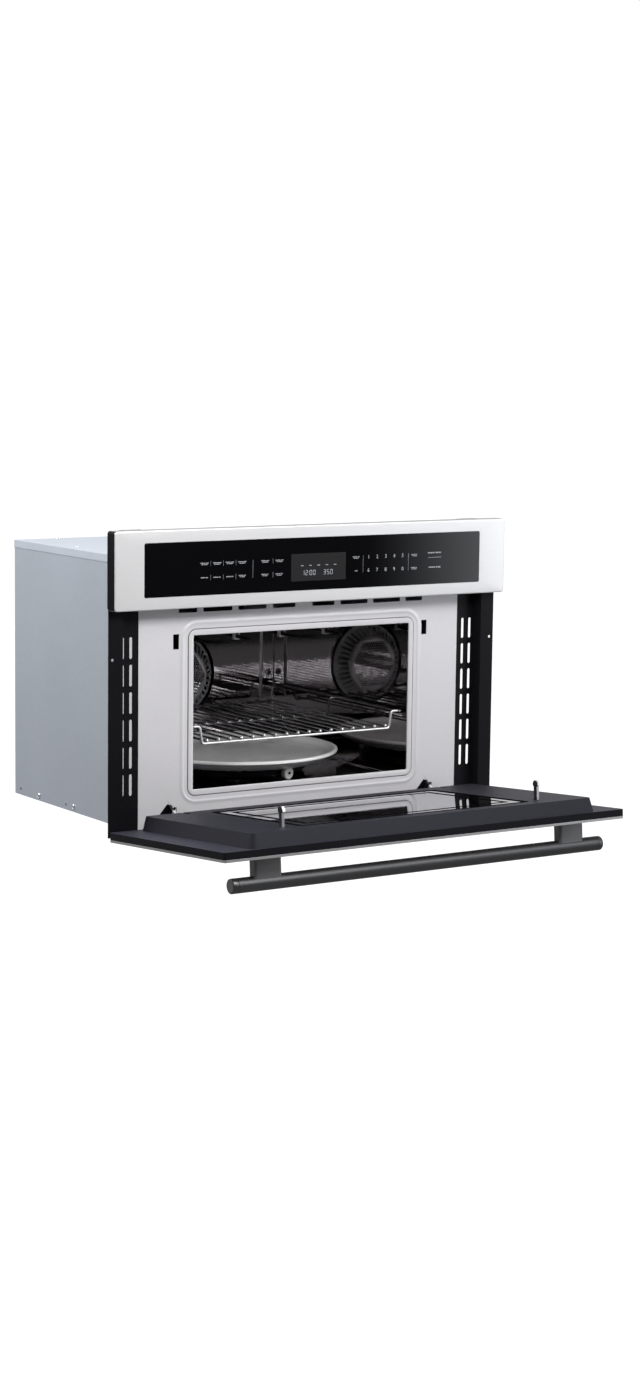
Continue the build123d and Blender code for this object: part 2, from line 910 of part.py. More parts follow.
def magnetron():
    """Base plate on the waveguide, finned barrel and the filter box on top."""
    half = magnetron_size / 2
    middle = Pos(magnetron_x, guide_y, 0)
    top = guide_top + magnetron_height
    body = rod_z(guide_top, top, 0, 0, magnetron_barrel)
    body += block(-half, half, -half, half, guide_top, guide_top + magnetron_base)
    fin_span = magnetron_height - filter_height
    for index in range(magnetron_fins):
        z = guide_top + fin_span * (index + 1) / (magnetron_fins + 1)
        body += Pos(0, 0, z) * Box(fin_size, fin_size, fin_thick)
    body += Pos(0, 0, top - filter_height / 2) * Box(filter_size, filter_size, filter_height)
    return middle * body


def transformer():
    width, depth, height = core_size
    x = inner_half - side_gap - width / 2
    middle = Pos(x, core_y, sheet + height / 2)
    core = Box(width, depth, height)
    hole, tall = core_window
    for side in (-1, 1):
        core -= Pos(0, side * depth / 4, 0) * Box(width, hole, tall)
    coil = Box(width + 2 * coil_swell - 2 * side_gap, depth / 2 + hole, coil_height)
    coil = fillet(coil.edges().filter_by(Axis.Z), coil_swell)
    limb = Box(width, depth / 2 - hole, height)
    return middle * (core + (coil - limb))


def capacitor():
    width, length, height = can_size
    x = inner_half - side_gap - coil_swell - width / 2
    can = Pos(x, can_y) * Rot(0, 0, 90) * SlotOverall(length, width)
    body = extrude(Pos(0, 0, sheet) * can, amount=height)
    for side in (-1, 1):
        end = sheet + height + terminal_size[2] / 2
        body += Pos(x, can_y + side * length / 4, end) * Box(*terminal_size)
    return body


def blower_plane():
    """X of the cooling fan frame's far face, a set gap from the magnetron."""
    return guide_left - blower_gap


def cooling_fan_frame():
    right = blower_plane()
    left = right - blower_depth
    half = blower_size / 2
    frame = block(left, right, guide_y - half, guide_y + half, guide_low, blower_z + half)
    return frame - rod_x(left, right, guide_y, blower_z, blower_bore)


def cooling_motor():
    face = blower_plane() - blower_depth
    middle = Pos(face - blower_motor_depth / 2, guide_y, blower_z)
    body = middle * Box(blower_motor_depth, blower_motor, blower_motor)
    low = guide_y - blower_size / 2
    strut = blower_strut
    body += block(face - strut, face, low, low + blower_size, blower_z - strut, blower_z + strut)
    bore = blower_shaft + running_gap
    return body - rod_x(face - blower_motor_bore, face, guide_y, blower_z, bore)


def cooling_fan():
    face = blower_plane() - blower_depth
    start = face + rotor_front
    rotor = rod_x(start, start + rotor_depth, 0, 0, blower_hub)
    reach = blower_radius - blower_hub + blower_hub_lap
    for index in range(blower_blades):
        vane = Rot(0, 0, vane_pitch) * Box(vane_thick, vane_chord, reach)
        vane = Pos(start + rotor_depth / 2, 0, blower_radius - reach / 2) * vane
        rotor += Rot(360 * index / blower_blades, 0, 0) * vane
    rotor += rod_x(face - blower_motor_bore + shaft_end_gap, start, 0, 0, blower_shaft)
    return Pos(0, guide_y, blower_z) * rotor


def lamp_mid():
    return cavity_top - lamp_size[2]


def cavity_lamp():
    depth, width, height = lamp_size
    outer = cavity_half + cavity_sheet
    wall = lamp_wall
    case = Pos(-outer - depth / 2, lamp_y, lamp_mid()) * Box(depth, width, height)
    hollow = Box(depth, width - 2 * wall, height - 2 * wall)
    case -= Pos(wall - outer - depth / 2, lamp_y, lamp_mid()) * hollow
    bulb = rod_x(wall - outer - depth, -outer - bulb_gap, lamp_y, lamp_mid(), bulb_stem)
    bulb += Pos(-outer - bulb_gap, lamp_y, lamp_mid()) * Sphere(bulb_radius)
    return case + bulb


# Latches
def latch_bracket():
    low = latch_z - latch_slot_low - bracket_wall
    high = latch_z + latch_slot_high + bracket_wall
    half = latch_slot_width / 2 + bracket_wall
    end = plate_back + bracket_depth
    body = block(latch_x - half, latch_x + half, plate_back, end, low, high)
    return body - block(
        latch_x - latch_slot_width / 2,
        latch_x + latch_slot_width / 2,
        plate_back,
        end - bracket_wall,
        latch_z - latch_slot_low,
        latch_z + latch_slot_high,
    )


def interlock_switches():
    """Two switches on the right bracket, one on the left."""
    wide, deep, tall = switch_size
    outer = latch_x + latch_slot_width / 2 + bracket_wall
    y = plate_back + bracket_depth / 2
    switches = []
    for side, lift in ((1, -switch_pitch / 2), (1, switch_pitch / 2), (-1, 0)):
        switches.append(Pos(side * (outer + wide / 2), y, latch_z + lift) * Box(wide, deep, tall))
    return switches


def latch_hook():
    """Hook that leaves the raised panel and enters the plate's slot."""
    pivot_y = raised_face - hook_pivot
    tip = door_back + hook_tip
    half = hook_height / 2
    profile = Pos(pivot_y, latch_z) * Circle(hook_boss)
    profile += span(pivot_y, tip, latch_z - half, latch_z + half)
    nose = Polyline(
        (tip - hook_nose_length, latch_z + half),
        (tip - hook_nose_length, latch_z + half + hook_nose),
        (tip, latch_z + half),
        close=True,
    )
    profile += make_face(nose)
    hook = panel_yz(profile, latch_x - hook_thick / 2, latch_x + hook_thick / 2)
    reach = hook_thick / 2 + hook_side_gap + hook_cheek
    return hook + rod_x(latch_x - reach, latch_x + reach, pivot_y, latch_z, hook_trunnion)


# Turntable
def turntable_motor():
    top = cavity_floor_z - cavity_sheet
    low = top - turn_motor_height
    body = rod_z(low, top, 0, cavity_mid_y, turn_motor_radius)
    ears = SlotOverall(2 * (turn_motor_radius + ear_reach), ear_width)
    body += extrude(Pos(0, cavity_mid_y, top - ear_thick) * ears, amount=ear_thick)
    return body - rod_z(low + turn_motor_wall, top, 0, cavity_mid_y, coupler_shaft + running_gap)


def turntable_coupler():
    low = cavity_floor_z - cavity_sheet - turn_motor_height + turn_motor_wall + shaft_end_gap
    foot = cavity_floor_z + coupler_foot
    top = tray_under - tray_gap
    lobes = Circle(coupler_core)
    for index in range(3):
        lobe = Pos(coupler_radius / 2, 0) * SlotOverall(coupler_radius, lobe_width)
        lobes += Rot(0, 0, 120 * index) * lobe
    body = rod_z(low, foot, 0, cavity_mid_y, coupler_shaft)
    return body + extrude(Pos(0, cavity_mid_y, foot) * lobes, amount=top - foot)


def turntable_tray():
    rim_low = tray_rim_z - tray_rim
    profile = Polyline(
        (0, tray_under),
        (tray_flat, tray_under),
        (tray_radius - tray_rim_under, rim_low),
        (tray_radius, rim_low + tray_rim_under),
        (tray_radius, tray_rim_z - tray_rim_bevel),
        (tray_radius - tray_rim_bevel, tray_rim_z),
        (tray_radius - tray_rim, tray_rim_z),
        (tray_flat - tray_thick, tray_under + tray_thick),
        (0, tray_under + tray_thick),
        close=True,
    )
    tray = revolve(Plane.XZ * make_face(profile), Axis.Z)
    for index in range(3):
        place = Rot(0, 0, 120 * index + 60) * Pos(lug_circle, 0, tray_under - lug_depth / 2)
        tray += place * Cylinder(lug_radius, lug_depth)
    return Pos(0, cavity_mid_y, 0) * tray


def wheel_place(index):
    """Location of a wheel's centre, its local X pointing outward."""
    angle = roller_start + roller_turn * index
    return Pos(0, cavity_mid_y, axle_z) * Rot(0, 0, angle) * Pos(roller_circle, 0, 0)


def roller_ring():
    outer = roller_circle - ring_inset + ring_width / 2
    low = -ring_height / 2
    ring = Circle(outer) - Circle(outer - ring_width)
    ring += Circle(hub_inner + ring_width) - Circle(hub_inner)
    for index in range(3):
        half = ring_width / 2
        spoke = span(hub_inner + half, outer - half, -half, half)
        ring += Rot(0, 0, roller_start + roller_turn * index) * spoke
    body = Pos(0, cavity_mid_y, axle_z) * extrude(Pos(0, 0, low) * ring, amount=ring_height)
    reach = roller_width / 2 + axle_end
    for index in range(3):
        body += wheel_place(index) * rod_x(-ring_inset, reach, 0, 0, roller_axle)
    return body


def roller(index):
    wheel = rod_x(-roller_width / 2, roller_width / 2, 0, 0, roller_radius)
    wheel = chamfer(wheel.edges().filter_by(GeomType.CIRCLE), roller_chamfer)
    wheel -= rod_x(-roller_width, roller_width, 0, 0, roller_axle + running_gap)
    return wheel_place(index) * wheel


# Hinges
def hinge_bracket():
    """Fixed arm that carries the hinge pin; its top slopes up into the plate's slot."""
    nose = Pos(hinge_y, hinge_z) * Circle(knuckle_radius)
    low = hinge_z - knuckle_radius
    back = plate_back + hinge_back
    arm = nose + span(hinge_y, back, low, hinge_z + knuckle_radius)
    tip = door_back + hinge_clearance
    web = Polyline(
        (tip, hinge_z),
        (back, hinge_z),
        (back, hinge_crest),
        (plate_front, hinge_crest),
        (tip, hinge_tip_z),
        close=True,
    )
    arm += make_face(web)
    half = hinge_arm / 2
    bracket = panel_yz(arm, hinge_x - half, hinge_x + half)
    start = plate_back + sheet
    bracket += block(hinge_x - half, hinge_x + half, start, back, sheet, low)
    inner = hinge_x - half
    bracket += block(inner - hinge_foot, inner, start, back, sheet, sheet + hinge_foot_sheet)
    pin = hinge_pin + running_gap
    return bracket - rod_x(hinge_x - half, hinge_x + half, hinge_y, hinge_z, pin)


def hinge_pin_bar():
    reach = hinge_arm / 2 + hinge_side_gap + knuckle_length
    return rod_x(hinge_x - reach, hinge_x + reach, hinge_y, hinge_z, hinge_pin)


# Door, in its closed place
def door_outline(inset):
    mid = door_bottom + door_height / 2
    width = front_width - 2 * inset
    return Pos(0, mid) * RectangleRounded(width, door_height - 2 * inset, door_radius - inset)


def window_outline(grow):
    width = window_width + 2 * grow
    return Pos(0, window_mid) * RectangleRounded(width, window_height + 2 * grow, window_radius + grow)


def outer_window(grow):
    width = window_width - 2 * outer_window_margin + 2 * grow
    height = window_height - 2 * outer_window_margin + 2 * grow
    return Pos(0, window_mid) * RectangleRounded(width, height, window_radius)


def door_skin():
    lip_end = door_front + door_skin_sheet + door_lip
    skin = panel_xz(door_outline(0), door_front, lip_end)
    skin -= panel_xz(door_outline(door_skin_sheet), door_front + door_skin_sheet, lip_end)
    return skin - panel_xz(outer_window(0), door_front, door_front + door_skin_sheet)


def door_frame():
    lip_end = door_front + door_skin_sheet + door_lip
    inside = door_front + door_skin_sheet
    frame = panel_xz(door_outline(door_skin_sheet), inside, lip_end)
    frame += panel_xz(door_outline(0), lip_end, door_back)
    frame -= panel_xz(window_outline(screen_lap / 2), inside, door_back)
    frame -= panel_xz(outer_window(pane_lap), inside, inside + outer_glass_thick)
    for side in (-1, 1):
        at = side * hinge_x
        half = hinge_arm / 2 + hinge_side_gap
        bar = half + knuckle_length
        frame += rod_x(at - bar, at + bar, hinge_y, hinge_z, knuckle_radius)
        frame -= rod_x(at - half, at + half, hinge_y, hinge_z, 2 * knuckle_radius + hinge_clearance)
        frame -= rod_x(at - bar, at + bar, hinge_y, hinge_z, hinge_pin)
        cheek = hook_thick / 2 + hook_side_gap
        at = side * latch_x
        swing = hook_boss + hinge_clearance
        frame -= rod_x(at - cheek, at + cheek, raised_face - hook_pivot, latch_z, swing)
    return frame


def door_choke_cover():
    """Raised inner panel: drafted sides, window, hinge slots and latch cheeks."""
    draft = raised_draft
    cover = tapered(raised_width, raised_height, raised_radius, raised_mid, door_back, raised_face, draft)
    inner_width = raised_width - 2 * raised_wall
    inner_height = raised_height - 2 * raised_wall
    inner_radius = raised_radius - raised_wall
    inside = raised_face - raised_wall
    cover -= tapered(inner_width, inner_height, inner_radius, raised_mid, door_back, inside, draft)
    cover -= panel_xz(window_outline(0), inside, raised_face)
    pivot_y = raised_face - hook_pivot
    for side in (-1, 1):
        at = side * hinge_x
        half = hinge_arm / 2 + hinge_side_gap
        cover -= rod_x(at - half, at + half, hinge_y, hinge_z, hinge_reach + hinge_clearance)
        at = side * latch_x
        slot = hook_thick / 2 + hook_side_gap
        low = latch_z - hook_height
        cover -= block(at - slot, at + slot, inside, raised_face, low, latch_z + hook_height)
        for way in (-1, 1):
            edge = sorted((at + way * slot, at + way * (slot + hook_cheek)))
            cheek = block(*edge, pivot_y - hook_boss, inside, latch_z - hook_boss, latch_z + hook_boss)
            cover += cheek - rod_x(*edge, pivot_y, latch_z, hook_trunnion + running_gap)
    return cover


def door_window_pane():
    back = raised_face - raised_wall
    return panel_xz(window_outline(pane_lap), back - pane_thick, back)


def door_screen():
    """Shield sheet with a folded channel round it, between frame and pane."""
    back = raised_face - raised_wall - pane_thick
    screen = panel_xz(window_outline(pane_lap), back - screen_sheet, back)
    wall = window_outline(pane_lap) - window_outline(pane_lap - screen_sheet)
    screen += panel_xz(wall, door_back, back - screen_sheet)
    flange = window_outline(screen_lap) - window_outline(pane_lap - screen_sheet)
    return screen + panel_xz(flange, door_back, door_back + screen_sheet)


def door_outer_glass():
    inside = door_front + door_skin_sheet
    return panel_xz(outer_window(pane_lap), inside, inside + outer_glass_thick)


def handle_bar():
    half = handle_length / 2
    bar = rod_x(-half, half, door_front - handle_stand, door_bottom + handle_l, handle_radius)
    return chamfer(bar.edges().filter_by(GeomType.CIRCLE), handle_chamfer)


def handle_post():
    axis_y = door_front - handle_stand
    z = door_bottom + handle_l
    half = post_width / 2
    outline = Pos(post_x, z) * RectangleRounded(post_width, post_height, post_radius)
    post = panel_xz(outline, axis_y, door_front)
    return post - rod_x(post_x - half, post_x + half, axis_y, z, handle_radius + post_seat_gap)


def swing_open(shape):
    """Turns a piece of the closed door about the hinge to the open rest."""
    axis = Pos(0, hinge_y, hinge_z)
    return axis * Rot(door_open_angle, 0, 0) * axis.inverse() * shape


# Small fittings
def cord_gland():
    gland = rod_y(rear_front - gland_lip, rear_back + gland_lip, gland_x, gland_z, gland_radius)
    gland += rod_y(rear_back, rear_back + gland_lip, gland_x, gland_z, gland_flange)
    gland += rod_y(rear_front - gland_lip, rear_front, gland_x, gland_z, gland_flange)
    return gland - rod_y(rear_front - gland_lip, rear_back + gland_lip, gland_x, gland_z, gland_bore)


def cabinet_screws():
    """Screw heads on the side panels, the lid and the rear panel."""
    heads = []
    for y in side_screw_y:
        heads += pair(rod_x(half_width, half_width + screw_height, y, screw_z, screw_radius))
    for inset, y in lid_screws:
        x = half_width - inset
        heads += pair(rod_z(cabinet_height, cabinet_height + screw_height, x, y, screw_radius))
    for z in (screw_z, cabinet_height / 2, lid_under - screw_z):
        edge = inner_half - panel_fold / 2
        heads += pair(rod_y(rear_back, rear_back + screw_height, edge, z, screw_radius))
    return heads


def write(node, shapes):
    """One file per piece; a list becomes a group of separate solids."""
    pieces = shapes if isinstance(shapes, list) else [shapes]
    solids = [solid for piece in pieces for solid in piece.solids()]
    whole = solids[0] if len(solids) == 1 else Compound(solids)
    export_step(whole, f"parts/{node}.step")


cabinet = {
    "base_pan": base_pan(),
    "side_panels": pair(side_panel()),
    "top_cover": top_cover(),
    "rear_panel": rear_panel(),
    "rear_motor_cover": rear_motor_cover(),
    "front_plate": front_plate(),
    "trim_flanges": pair(trim_flange()),
    "control_fascia": control_fascia(),
    "end_caps": pair(end_cap()),
    "control_glass": control_glass(),
    "panel_carrier": panel_carrier(),
    "display_module": display_module(),
    "control_board": control_board(),
    "panel_back_cover": panel_back_cover(),
    "cavity_floor": cavity_floor(),
    "cavity_ceiling": cavity_ceiling(),
    "cavity_left_wall": cavity_left_wall(),
    "cavity_right_wall": cavity_side(),
    "cavity_rear_wall": cavity_rear_wall(),
    "convection_cover": convection_cover(),
    "convection_housing": convection_housing(),
    "convection_heater": convection_heater(),
    "convection_motor": convection_motor(),
    "convection_fan": convection_fan(),
    "grill_element": grill_element(),
    "grill_clips": grill_clips(),
    "rack_rails": pair(rack_rail()),
    "wire_rack": wire_rack(),
    "waveguide": waveguide(),
    "waveguide_cover": waveguide_cover(),
    "magnetron": magnetron(),
    "transformer": transformer(),
    "capacitor": capacitor(),
    "cooling_fan_frame": cooling_fan_frame(),
    "cooling_motor": cooling_motor(),
    "cooling_fan": cooling_fan(),
    "cavity_lamp": cavity_lamp(),
    "latch_brackets": pair(latch_bracket()),
    "interlock_switches": interlock_switches(),
    "turntable_motor": turntable_motor(),
    "turntable_coupler": turntable_coupler(),
    "turntable_tray": turntable_tray(),
    "roller_ring": roller_ring(),
    "roller_1": roller(0),
    "roller_2": roller(1),
    "roller_3": roller(2),
    "hinge_brackets": pair(hinge_bracket()),
    "cord_gland": cord_gland(),
    "cabinet_screws": cabinet_screws(),
}
door = {
    "door_skin": [door_skin()],
    "door_frame": [door_frame()],
    "door_choke_cover": [door_choke_cover()],
    "door_window_pane": [door_window_pane()],
    "door_screen": [door_screen()],
    "door_outer_glass": [door_outer_glass()],
    "handle_bar": [handle_bar()],
    "handle_posts": pair(handle_post()),
    "hinge_pins": pair(hinge_pin_bar()),
    "left_latch_hook": [mirror(latch_hook(), about=Plane.YZ)],
    "right_latch_hook": [latch_hook()],
}

os.makedirs("parts", exist_ok=True)
for node, shapes in cabinet.items():
    write(node, shapes)
for node, shapes in door.items():
    write(node, [swing_open(shape) for shape in shapes])
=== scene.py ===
import json
import math
from functools import partial

import bmesh
import bpy
from bpy.props import FloatProperty, FloatVectorProperty, IntProperty, PointerProperty
from mathutils import Matrix, Vector


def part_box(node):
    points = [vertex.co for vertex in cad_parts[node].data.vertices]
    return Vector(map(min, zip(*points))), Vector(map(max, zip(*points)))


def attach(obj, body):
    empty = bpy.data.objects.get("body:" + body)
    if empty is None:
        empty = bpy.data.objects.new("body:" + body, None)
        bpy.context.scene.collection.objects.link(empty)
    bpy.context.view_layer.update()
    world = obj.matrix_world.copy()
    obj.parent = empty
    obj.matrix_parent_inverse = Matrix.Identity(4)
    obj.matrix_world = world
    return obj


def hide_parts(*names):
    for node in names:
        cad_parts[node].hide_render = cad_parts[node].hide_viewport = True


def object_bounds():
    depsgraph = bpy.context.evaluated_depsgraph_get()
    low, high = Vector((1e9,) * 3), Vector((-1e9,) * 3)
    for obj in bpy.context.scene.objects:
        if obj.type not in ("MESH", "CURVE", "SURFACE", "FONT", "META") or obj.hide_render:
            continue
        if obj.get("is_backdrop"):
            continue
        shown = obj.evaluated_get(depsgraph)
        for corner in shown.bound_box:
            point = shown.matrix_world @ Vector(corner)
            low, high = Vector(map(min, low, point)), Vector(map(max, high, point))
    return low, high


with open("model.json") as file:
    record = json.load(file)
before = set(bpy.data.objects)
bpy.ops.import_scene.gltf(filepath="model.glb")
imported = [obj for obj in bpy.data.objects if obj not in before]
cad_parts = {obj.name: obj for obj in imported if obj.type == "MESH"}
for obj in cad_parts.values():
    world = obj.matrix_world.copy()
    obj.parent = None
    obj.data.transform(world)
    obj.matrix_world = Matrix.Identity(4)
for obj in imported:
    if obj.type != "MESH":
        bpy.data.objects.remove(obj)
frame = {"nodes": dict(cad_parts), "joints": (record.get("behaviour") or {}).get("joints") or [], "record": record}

bl_info = {
    "name": "Built-in Microwave",
    "version": (1, 0, 0),
    "blender": (4, 5, 0),
    "location": "View3D > Sidebar > Microwave",
    "description": "Finishes a built-in microwave oven with a drop-down door",
    "category": "Object",
}

MM = 0.001
NODES = frame["nodes"]
BODY_OF = {node: body for body, members in frame["record"]["behaviour"]["bodies"].items() for node in members}
SLOT_OF = {row["node"]: row["material_slot"] for row in frame["record"]["subparts"]}


def size(label, description, millimetres):
    """A length setting given in millimetres."""
    return FloatProperty(name=label, description=description, default=millimetres * MM, unit="LENGTH")


def colour(label, description, value):
    """A colour setting."""
    return FloatVectorProperty(
        name=label, description=description, default=value, subtype="COLOR", size=3, min=0.0, max=1.0)


def rotation(label, description, degrees):
    """An angle setting given in degrees."""
    return FloatProperty(name=label, description=description, default=math.radians(degrees), unit="ROTATION")


def amount(label, description, value, **limits):
    """A plain setting that is never below zero."""
    return FloatProperty(name=label, description=description, default=value, min=0.0, **limits)


class MicrowaveColours(bpy.types.PropertyGroup):
    """Colours of the finishes."""

    cabinet: colour("Cabinet", "Galvanised sheet of the cabinet", (0.42, 0.455, 0.51))
    front: colour("Front plate", "Silver paint of the front plate", (0.72, 0.705, 0.725))
    stainless: colour("Stainless", "Brushed steel of the control panel and door", (0.81, 0.805, 0.81))
    # painted shade: the handle's stainless steel is darkened to the shade it shows under the open door
    handle: colour("Handle", "Dark brushed steel of the handle", (0.085, 0.085, 0.088))
    posts: colour("Posts", "Satin steel of the handle's posts", (0.15, 0.15, 0.152))
    # partly painted shade: a polished steel tone, set darker to give the deep cavity its shade
    cavity: colour("Cavity", "Polished steel of the cooking cavity", (0.42, 0.405, 0.41))
    enamel: colour("Cavity floor", "Dark floor of the cooking cavity", (0.11, 0.105, 0.115))
    cover: colour("Fan cover", "Satin steel of the fan cover and its strip", (0.86, 0.85, 0.86))
    trim: colour("Trim", "Satin black of the side flanges", (0.006, 0.0055, 0.007))
    moulding: colour("Moulding", "Black plastic", (0.008, 0.0075, 0.010))
    door_lining: colour("Door lining", "Charcoal plastic inside the door", (0.018, 0.018, 0.026))
    glass: colour("Glass", "Black touch glass", (0.002, 0.002, 0.0025))
    display: colour("Display", "Field of the display", (0.020, 0.020, 0.021))
    pane: colour("Pane", "Mirror coat of the door's glass", (0.23, 0.222, 0.23))
    # painted light: the flat's tone holds painted shade and the rim's tone a painted highlight
    tray: colour("Tray", "Flat of the turntable tray", (0.72, 0.712, 0.71))
    tray_rim_highlight: colour("Tray rim", "Rim of the turntable tray", (0.93, 0.93, 0.92))
    ink: colour("Ink", "Printing on the touch glass", (0.38, 0.40, 0.43))


class MicrowaveSizes(bpy.types.PropertyGroup):
    """Sizes of the details that are made here."""

    sheet_edge: size("Sheet edge", "Rounding of cut sheet edges", 0.3)
    moulded_edge: size("Moulded edge", "Rounding of moulded edges", 1.2)
    pan_edge: size("Fold", "Rounding of folded sheet corners", 0.45)
    fascia_roll: size("Fascia roll", "Width of the fascia's rolled edge", 2.2)
    mark_height: size("Mark height", "Height of a printed mark", 1.35)
    digit_height: size("Digit height", "Height of a printed digit", 6.0)
    figure_height: size("Figure height", "Height of a display figure", 7.4)
    print_lift: size("Print lift", "Thickness of the printing", 0.06)
    hole_pitch: size("Hole pitch", "Spacing of the fan cover's holes", 5.0)
    hole_radius: size("Hole radius", "Radius of the fan cover's holes", 1.75)
    hole_rings: IntProperty(
        name="Hole rings", description="Rings of holes in the fan cover", default=9, min=1)
    cove: size("Cove", "Radius of the cavity's corners", 3.0)
    head_radius: size("Screw head", "Radius of a screw head", 4.5)
    head_height: size("Screw height", "Height of a screw head", 2.0)


class MicrowaveStudio(bpy.types.PropertyGroup):
    """Camera and light."""

    camera_place: FloatVectorProperty(
        name="Camera", description="Place of the camera", default=(-2.3868, -3.92731, 0.80437), unit="LENGTH")
    yaw: rotation("Yaw", "Turn of the view to the right", 33.155)
    pitch: rotation("Pitch", "Tilt of the view downward", 7.706)
    roll: rotation("Roll", "Roll of the view", 0.72)
    lens: FloatProperty(name="Lens", description="Focal length in millimetres", default=69.594, min=1.0)
    key: amount("Key", "Power of the main light", 68.0)
    box: amount("Box", "Power of the soft box at the right", 36.0)
    fill: amount("Fill", "Power of the light into the cavity", 10.5)
    left: amount("Left", "Power of the light over the cabinet's left", 20.0)
    sky: amount("Sky", "Strength of the surroundings", 0.78)
    front_sky: amount("Front", "Share of the surroundings' light at the front", 0.04, max=1.0)
    floor_drop: size("Floor drop", "Height of the oven over the floor", 450.0)
    floor: colour("Floor", "Colour of the floor", (0.32, 0.32, 0.32))
    floor_glow: amount("Floor glow", "White of the floor in the view", 0.9)


def add(tree, kind, inputs=None, **settings):
    """Adds a node; an input is given as a value or as the socket that feeds it."""
    node = tree.nodes.new(kind)
    for name, value in settings.items():
        setattr(node, name, value)
    for name, value in (inputs or {}).items():
        if isinstance(value, bpy.types.NodeSocket):
            tree.links.new(value, node.inputs[name])
        else:
            node.inputs[name].default_value = value
    return node


def math_node(tree, operation, first, second=0.5):
    """The result socket of one sum."""
    return add(tree, "ShaderNodeMath", {0: first, 1: second}, operation=operation).outputs[0]


def vector_node(tree, operation, *terms):
    """The node of one sum of vectors."""
    return add(tree, "ShaderNodeVectorMath", dict(enumerate(terms)), operation=operation)


def vector(tree, **parts):
    """A vector from its parts."""
    return add(tree, "ShaderNodeCombineXYZ", parts).outputs[0]


def place_of(tree):
    """A point's place on its object."""
    return add(tree, "ShaderNodeTexCoord").outputs["Object"]


def noise(tree, place, scale, **settings):
    """A cloud of values from 0 to 1."""
    return add(tree, "ShaderNodeTexNoise", {"Vector": place, "Scale": scale, **settings}).outputs["Fac"]


def new_group(name, kind, inputs, outputs):
    """A node tree with named sockets, and its two end nodes."""
    tree = bpy.data.node_groups.new(name, kind)
    for label, socket, default in inputs:
        made = tree.interface.new_socket(label, in_out="INPUT", socket_type=socket)
        if default is not None:
            made.default_value = default
    for label, socket in outputs:
        tree.interface.new_socket(label, in_out="OUTPUT", socket_type=socket)
    return tree, tree.nodes.new("NodeGroupInput"), tree.nodes.new("NodeGroupOutput")


def effect(name, settings, results):
    """A shared effect of materials: its tree, its settings, and a way to close it with its results."""
    tree, start, end = new_group(
        name, "ShaderNodeTree", [(label, "NodeSocketFloat", value) for label, value in settings.items()],
        [(label, "NodeSocketFloat") for label in results])

    def close(*sockets):
        for label, socket in zip(results, sockets):
            tree.links.new(socket, end.inputs[label])
        return tree

    return tree, start.outputs, close


def brushed_group():
    """Fine streaks along X."""
    tree, given, close = effect("Brushed grain", {"Along": 14.0, "Across": 2600.0}, ("Grain",))
    stretch = vector(tree, X=given["Along"], Y=given["Across"], Z=given["Across"])
    stretched = vector_node(tree, "MULTIPLY", place_of(tree), stretch).outputs[0]
    return close(noise(tree, stretched, 1.0, Detail=2.0))


def mottle_group():
    """The soft cloud and the crystal flakes of zinc on sheet."""
    tree, given, close = effect("Sheet mottle", {"Flake scale": 260.0}, ("Cloud", "Flakes"))
    place = place_of(tree)
    flakes = add(tree, "ShaderNodeTexVoronoi", {"Vector": place, "Scale": given["Flake scale"]})
    grey = add(tree, "ShaderNodeSeparateColor", {0: flakes.outputs["Color"]})
    return close(noise(tree, place, 5.0, Detail=3.0), grey.outputs[0])


def mould_group():
    """The spark-eroded grain of moulded plastic."""
    tree, given, close = effect("Mould grain", {"Grain scale": 1500.0}, ("Height", "Tone"))
    place = place_of(tree)
    return close(noise(tree, place, given["Grain scale"], Detail=2.0), noise(tree, place, 7.0, Detail=2.0))


def smudge_group():
    """Faint wiping marks and slow waves of polished surfaces."""
    tree, given, close = effect("Wiping marks", {"Mark scale": 14.0}, ("Marks", "Waves"))
    place = place_of(tree)
    marks = noise(tree, place, given["Mark scale"], Detail=5.0, Distortion=1.5)
    return close(marks, noise(tree, place, 9.0, Detail=0.0))


def dots_group():
    """Staggered round holes of the shield sheet that shows through the door's glass."""
    tree, given, close = effect("Shield dots", {"Pitch": 2.4 * MM, "Share": 0.33}, ("Dots",))
    do = partial(math_node, tree)
    parts = add(tree, "ShaderNodeSeparateXYZ", {0: place_of(tree)}).outputs
    row = do("DIVIDE", parts["Y"], do("MULTIPLY", given["Pitch"], math.sqrt(0.75)))
    odd = do("FLOORED_MODULO", do("FLOOR", row), 2.0)
    column = do("ADD", do("DIVIDE", parts["X"], given["Pitch"]), do("MULTIPLY", odd, 0.5))
    across, up = (do("SUBTRACT", do("FRACT", spot), 0.5) for spot in (column, row))
    far = vector_node(tree, "LENGTH", vector(tree, X=across, Y=up)).outputs["Value"]
    return close(do("LESS_THAN", far, given["Share"]))


def spaced(values):
    """Values by the names of sockets, which have spaces."""
    return {label.replace("_", " "): value for label, value in values.items()}


def dressed(name, **values):
    """An empty material: its tree, and the inputs of its shader with some uniform values."""
    material = bpy.data.materials.get(name) or bpy.data.materials.new(name)
    material.use_nodes = True
    tree = material.node_tree
    tree.nodes.clear()
    shader = add(tree, "ShaderNodeBsdfPrincipled", spaced(values))
    add(tree, "ShaderNodeOutputMaterial", {"Surface": shader.outputs[0]})
    return tree, shader.inputs


def use(tree, group, **values):
    """The results of a shared effect in a material."""
    return add(tree, "ShaderNodeGroup", spaced(values), node_tree=group).outputs


def spread(tree, value, low, high):
    """A 0 to 1 value moved into a range."""
    return add(tree, "ShaderNodeMapRange", {"Value": value, "To Min": low, "To Max": high}).outputs[0]


def toned(tone, strength):
    """A colour at another strength."""
    return [min(1.0, strength * part) for part in tone]


def mixed(tree, inputs, share, first, second):
    """Base colour between two colours."""
    mix = add(tree, "ShaderNodeMix", {"Factor": share, 6: (*first, 1.0), 7: (*second, 1.0)}, data_type="RGBA")
    tree.links.new(mix.outputs[2], inputs["Base Color"])


